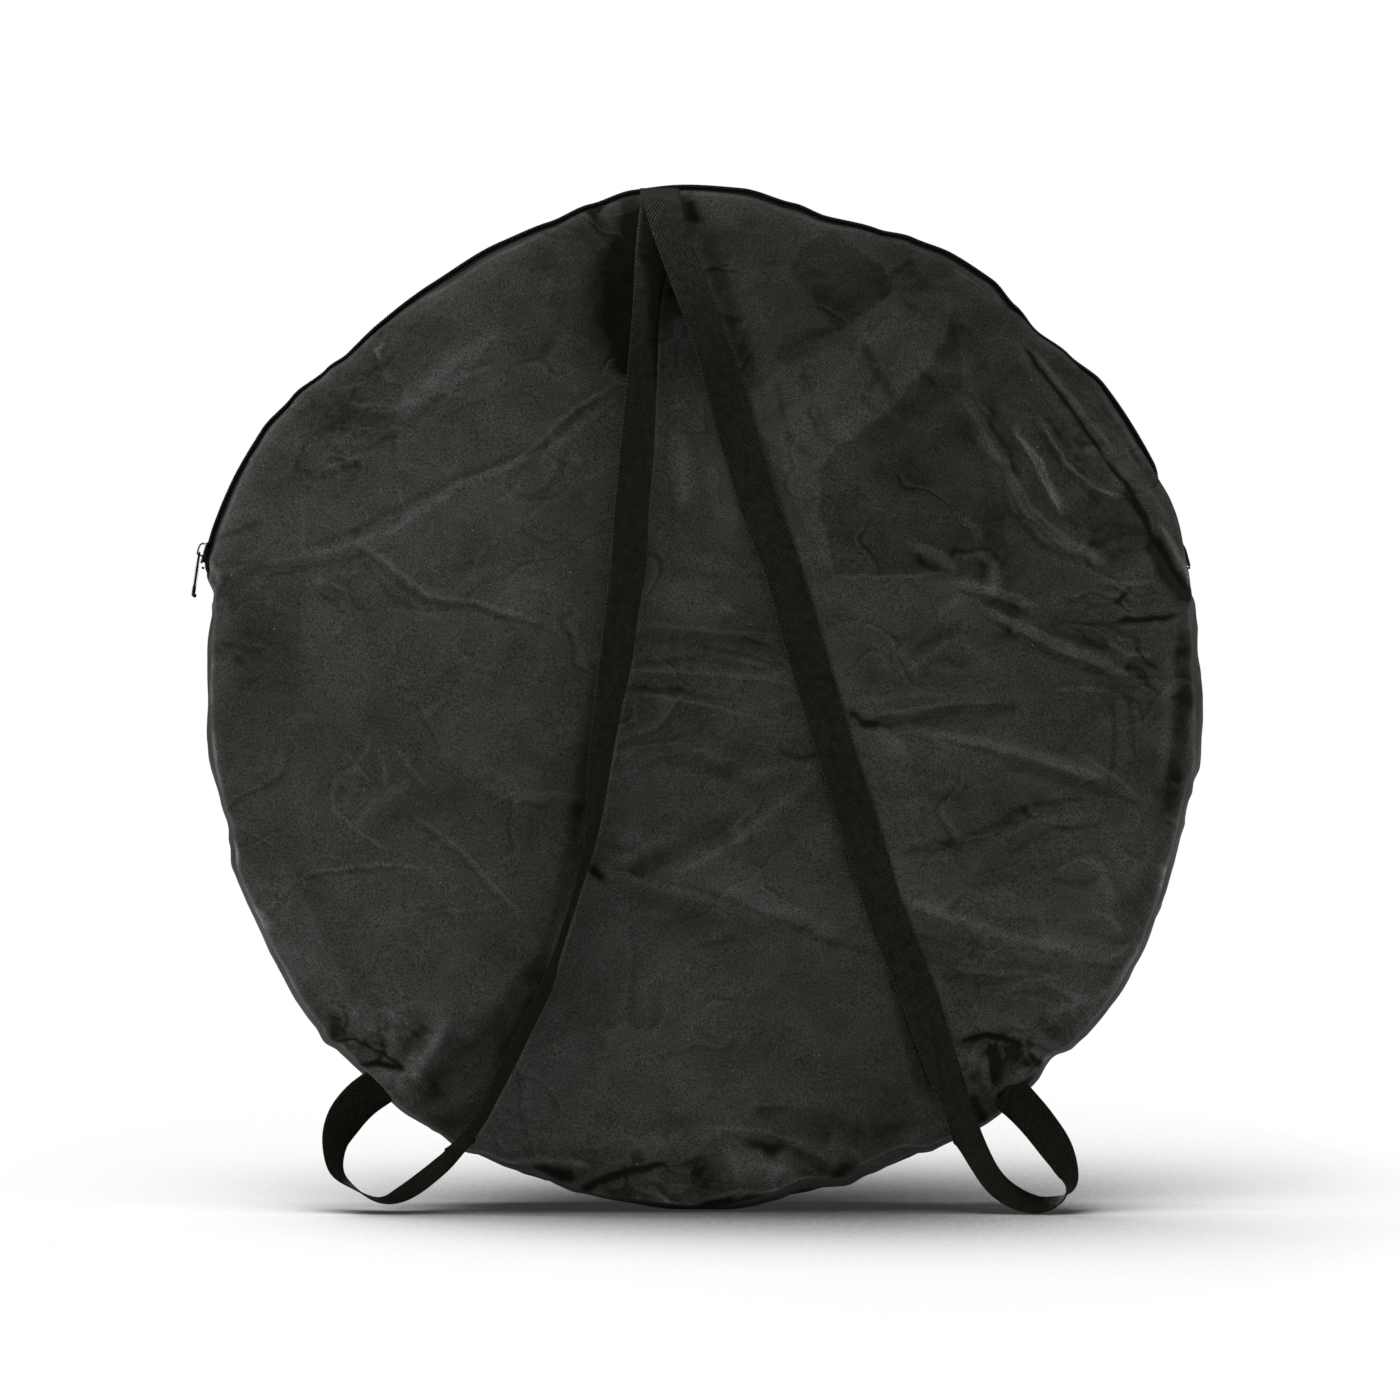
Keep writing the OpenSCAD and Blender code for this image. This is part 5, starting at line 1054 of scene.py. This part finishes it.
# towards its top end the webbing turns up to the light, and its loops stand in the bag's shade
top_light = ranged(add, length, 0.02, 0.17, 2.5, 1.0)
loop_shade = ranged(add, length, 0.99, 1.06, 1.0, 0.6)
lit = vectors(add, "MULTIPLY", dusty, number(add, "MULTIPLY", top_light, loop_shade))
# the selvedges' bound yarn catches the light
off_middle = number(add, "ABSOLUTE", number(add, "SUBTRACT", breadth, WEB_MIDDLE))
stitches = ranged(add, wave(length, 0.0042), -0.6, 1, 0.1, 0.9)
bound = number(add, "MULTIPLY", number(add, "GREATER_THAN", off_middle, SELVEDGE), stitches)
edged = add("ShaderNodeMix", {"Factor": bound, "A": lit, "B": (0.034, 0.035, 0.027, 1)}, data_type="RGBA")
# the turned end under the seam lies flat and smooth
end = number(add, "LESS_THAN", length, TURNED_END)
turned = add("ShaderNodeMix", {"Factor": end, "A": edged.outputs[2], "B": (0.021, 0.0215, 0.020, 1)},
             data_type="RGBA")
# dyed olive under the dust
dyed = vectors(add, "ADD", turned.outputs[2], (0, 0.0003, -0.0020))
link(vectors(add, "MAXIMUM", dyed, (0, 0, 0)), bsdf.inputs["Base Color"])
rough_surface(add, link, bsdf, level, 0.8, 0.0005)


def smooth_run(stations, gap):
    """Even steps of about gap along a Catmull-Rom curve through the stations."""
    p = np.array(stations, float)
    padded = np.vstack([2 * p[0] - p[1], p, 2 * p[-1] - p[-2]])
    fine = []
    for a, b, c, d in zip(padded[:-3], padded[1:-2], padded[2:-1], padded[3:]):
        for t in np.linspace(0, 1, 24, endpoint=False):
            fine.append(0.5 * (2 * b + (c - a) * t + (2 * a - 5 * b + 4 * c - d) * t ** 2
                               + (3 * b - a - 3 * c + d) * t ** 3))
    fine = np.array(fine + [p[-1]])
    run = np.concatenate([[0], np.cumsum(np.hypot(*np.diff(fine[:, :2], axis=0).T))])
    even = np.linspace(0, run[-1], int(run[-1] / gap) + 1)
    return np.stack([np.interp(even, run, fine[:, k]) for k in range(fine.shape[1])], 1)


def make_strap(name, stations, node):
    """Webbing along its stations, laid on the cloth and cut level at its top end."""
    run = smooth_run(stations, 2.4)
    x, z = (run[:, 0] - FOOT_U) * STEP, (FOOT_V - run[:, 1]) * STEP
    tilt = np.radians(run[:, 2])
    d = unit(np.stack([np.gradient(x), np.zeros_like(x), np.gradient(z)], 1))
    flat = np.stack([-d[:, 2], np.zeros_like(x), d[:, 0]], 1)
    w = flat * np.cos(tilt)[:, None] + np.array([0, 1, 0]) * np.sin(tilt)[:, None]
    columns = np.linspace(-1, 1, 13)
    # rest the webbing on the cloth: no point of its width may lie in the panel
    rest = np.full(x.shape, 1e9)
    for c in columns:
        web_x, web_z = x + w[:, 0] * c * STRAP_W / 2, z + w[:, 2] * c * STRAP_W / 2
        inside = np.hypot(web_x, web_z - HUB) < seam_radius(np.arctan2(web_z - HUB, web_x))
        over = np.where(inside, front_y(web_x, web_z), -SEAM_DEPTH)
        rest = np.minimum(rest, over - w[:, 1] * c * STRAP_W / 2)
    kernel = np.exp(-np.square(np.arange(-12, 13) / 6.0))
    padded = np.pad(rest, 12, mode="edge")
    rest = np.minimum(rest, np.convolve(padded, kernel / kernel.sum(), mode="valid"))
    y = rest - STRAP_T / 2 - 0.0003 - run[:, 3] / 1000
    centre = np.stack([x, y, z], 1)
    d = unit(np.gradient(centre, axis=0))
    w = unit(w - d * np.sum(w * d, axis=1)[:, None])
    n = np.cross(w, d)
    # section: a flat weave with rounded, slightly thicker selvedges
    section = [(c, 0.5 - 0.5 * (abs(c) > 0.99) + 0.06 * (0.86 < abs(c) < 0.99)) for c in columns]
    outline = section + [(c, -h) for c, h in section[-2:0:-1]]
    verts, uv = [], []
    length = np.concatenate([[0], np.cumsum(np.linalg.norm(np.diff(centre, axis=0), axis=1))])
    # the end under the seam is cut level
    slide = np.clip((0.030 - length) / 0.018, 0, 1)
    level_cut = -w[0, 2] / d[0, 2] * slide[:, None] * d
    for c, h in outline:
        verts.append(centre + (w + level_cut) * (c * STRAP_W / 2) + n * (h * STRAP_T))
        uv.append(np.stack([length, np.full_like(length, c * STRAP_W / 2 + WEB_MIDDLE)], 1))
    m, k = len(centre), len(outline)
    caps = [list(range(k))[::-1], [(m - 1) * k + q for q in range(k)]]
    piece = mesh_piece(name, np.stack(verts, 1).reshape(-1, 3), quads(m, k, True).tolist() + caps,
                       web_material, np.stack(uv, 1).reshape(-1, 2))
    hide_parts(node)
    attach(piece, "bag")


make_strap("left_webbing", LEFT_STRAP, "strap_left")
make_strap("right_webbing", RIGHT_STRAP, "strap_right")


# ------------------------------------------------------------------ the game inside
# Rim, legs, net, balls and pump keep the shapes that they have in the frame; each gets the finish
# of its own plastic, rubber, steel, cord or vinyl.


def moulded(name, colour, roughness, grain, depth):
    """A plain moulded finish with a fine grain."""
    material, bsdf, add, link = shader(name, colour, roughness)
    grained = speckle(add, object_place(add), grain, 4)
    link(tones(add, grained, [c * 0.86 for c in colour], [min(1, c * 1.1) for c in colour]),
         bsdf.inputs["Base Color"])
    rough_surface(add, link, bsdf, grained, 0.3, depth)
    return material


def each(part, count=5):
    """The names of a part's numbered pieces."""
    return [f"{part}_{i + 1}" for i in range(count)]


paint(each("rim_tube") + each("leg_tube"), moulded("yellow tube", (0.83, 0.52, 0.03), 0.34, 300, 0.0001))
paint(each("corner_joint") + each("leg_lug") + ["net_hooks", "pump_collar", "pump_handle"],
      moulded("black nylon", (0.012, 0.012, 0.012), 0.45, 900, 0.0002))
paint(each("leg_foot") + ["pump_piston"], moulded("black rubber", (0.018, 0.018, 0.018), 0.8, 700, 0.0003))
paint(["net"], moulded("white cord", (0.8, 0.8, 0.76), 0.8, 1500, 0.0004))
paint(each("ball", 3), moulded("yellow vinyl", (0.9, 0.66, 0.04), 0.5, 400, 0.0003))
paint(["pump_barrel"], moulded("red plastic", (0.6, 0.05, 0.03), 0.3, 250, 0.0001))
steel, bsdf, add, link = shader("bright steel", (0.6, 0.6, 0.62), 0.28)
bsdf.inputs["Metallic"].default_value = 1.0
link(ranged(add, speckle(add, object_place(add), 500, 2), 0, 1, 0.2, 0.4), bsdf.inputs["Roughness"])
paint(["leg_pins", "pump_rod", "pump_needle"], steel)


# ------------------------------------------------------------------ studio
# A white floor in white surroundings. Soft lamps hang over the bag, on its left and right and
# behind it, and a long lens looks at it almost squarely.

floor_mesh = bpy.data.meshes.new("floor")
floor_mesh.from_pydata([(-30, -30, 0), (30, -30, 0), (30, 60, 0), (-30, 60, 0)], [], [(0, 1, 2, 3)])
floor = bpy.data.objects.new("floor", floor_mesh)
bpy.context.scene.collection.objects.link(floor)
WHITE = (0.94, 0.94, 0.94)
floor_material, bsdf, add, link = shader("floor", WHITE, 0.9, 0.0)
# how much of the sky a place sees; for the camera this is painted onto the floor as a deepened shadow
lean = vectors(add, "NORMALIZE", (-0.30, -0.10, 0.92))
open_sky = add("ShaderNodeAmbientOcclusion", {"Distance": 1.6, "Normal": lean}, samples=12)
shade = ranged(add, open_sky.outputs["AO"], 0.55, 0.91, 0.05, 1.0, "SMOOTHSTEP")
rays = add("ShaderNodeLightPath").outputs
direct = add("ShaderNodeMix", {"Factor": rays["Is Camera Ray"], "A": 1.0, "B": shade})
link(vectors(add, "MULTIPLY", WHITE, direct.outputs[0]), bsdf.inputs["Base Color"])
# away from the bag the paper goes over into plain white
sized = add("ShaderNodeMapping", {"Vector": object_place(add), "Location": (0, -0.12, 0),
                                  "Scale": (1 / 0.75, 1 / 1.3, 1)})
reach = add("ShaderNodeVectorMath", {0: sized.outputs[0]}, operation="LENGTH").outputs["Value"]
away = ranged(add, reach, 0.3, 1.0, 0.6, 1.0, "SMOOTHSTEP")
seen = number(add, "MAXIMUM", rays["Is Camera Ray"], rays["Is Glossy Ray"])
# near the bag the white glow is dimmed by the same painted shadow
shadow_fading_to_white = number(add, "MAXIMUM", shade, ranged(add, reach, 0.6, 1.0, steps="SMOOTHSTEP"))
white_glow = add("ShaderNodeEmission", {"Color": (1, 1, 1, 1), "Strength": shadow_fading_to_white})
sweep = add("ShaderNodeMixShader", {0: number(add, "MULTIPLY", away, seen), 1: bsdf.outputs[0],
                                    2: white_glow.outputs[0]})
link(sweep.outputs[0], floor_material.node_tree.nodes["Material Output"].inputs["Surface"])
floor_mesh.materials.append(floor_material)

scene = bpy.context.scene
scene.view_settings.view_transform = "Standard"
scene.world = bpy.data.worlds.new("studio")
scene.world.use_nodes = True
scene.world.node_tree.nodes.clear()
add = adder(scene.world.node_tree)
ambient = add("ShaderNodeBackground", {"Color": (1, 1, 1, 1), "Strength": 0.2})
white = add("ShaderNodeBackground", {"Color": (1, 1, 1, 1), "Strength": 1.0})
camera_ray = add("ShaderNodeLightPath").outputs["Is Camera Ray"]
mixer = add("ShaderNodeMixShader", {"Fac": camera_ray, 1: ambient.outputs[0], 2: white.outputs[0]})
add("ShaderNodeOutputWorld", {"Surface": mixer.outputs[0]})


def stage_object(name, data, place, aim):
    """A lamp or camera at a place, turned to what it aims at."""
    item = bpy.data.objects.new(name, data)
    scene.collection.objects.link(item)
    item.location = place
    item.rotation_mode = "QUATERNION"
    item.rotation_quaternion = (aim - place).to_track_quat("-Z", "Y")
    return item


def soft_light(name, place, aim, size, power):
    """A white rectangular lamp, its size in metres and its power in watts."""
    lamp = bpy.data.lights.new(name, "AREA")
    lamp.shape = "RECTANGLE"
    lamp.size, lamp.size_y = size
    lamp.energy = power
    stage_object(name, lamp, Vector(place), Vector(aim))


soft_light("overhead", (0.0, -1.0, 3.6), (0, 0, 0.3), (2.6, 1.8), 46)
soft_light("left_side", (-2.9, -1.3, 2.3), (0, 0, 0.5), (0.8, 1.4), 104)
soft_light("right_side", (3.0, -1.2, 1.9), (0, 0, 0.5), (0.8, 1.6), 62)
soft_light("behind", (-0.6, 3.2, 0.7), (0, 0, 0.5), (1.0, 0.8), 40)

# A long lens on a small sensor, in millimetres; the frame is FRAME steps wide at the bag, and the
# camera looks at a place beside the hub from a few degrees above
LENS, SENSOR, FRAME = 300, 36, 1400
CAMERA_REACH = FRAME * STEP / SENSOR * LENS
CAMERA_RISE = math.radians(3)
lens = bpy.data.cameras.new("lens")
lens.lens = LENS
lens.sensor_width = SENSOR
lens.clip_end = 100
aim = Vector((0.0038, 0, 0.486))
place = aim + CAMERA_REACH * Vector((0, -math.cos(CAMERA_RISE), math.sin(CAMERA_RISE)))
scene.camera = stage_object("camera", lens, place, aim)

bpy.context.view_layer.update()
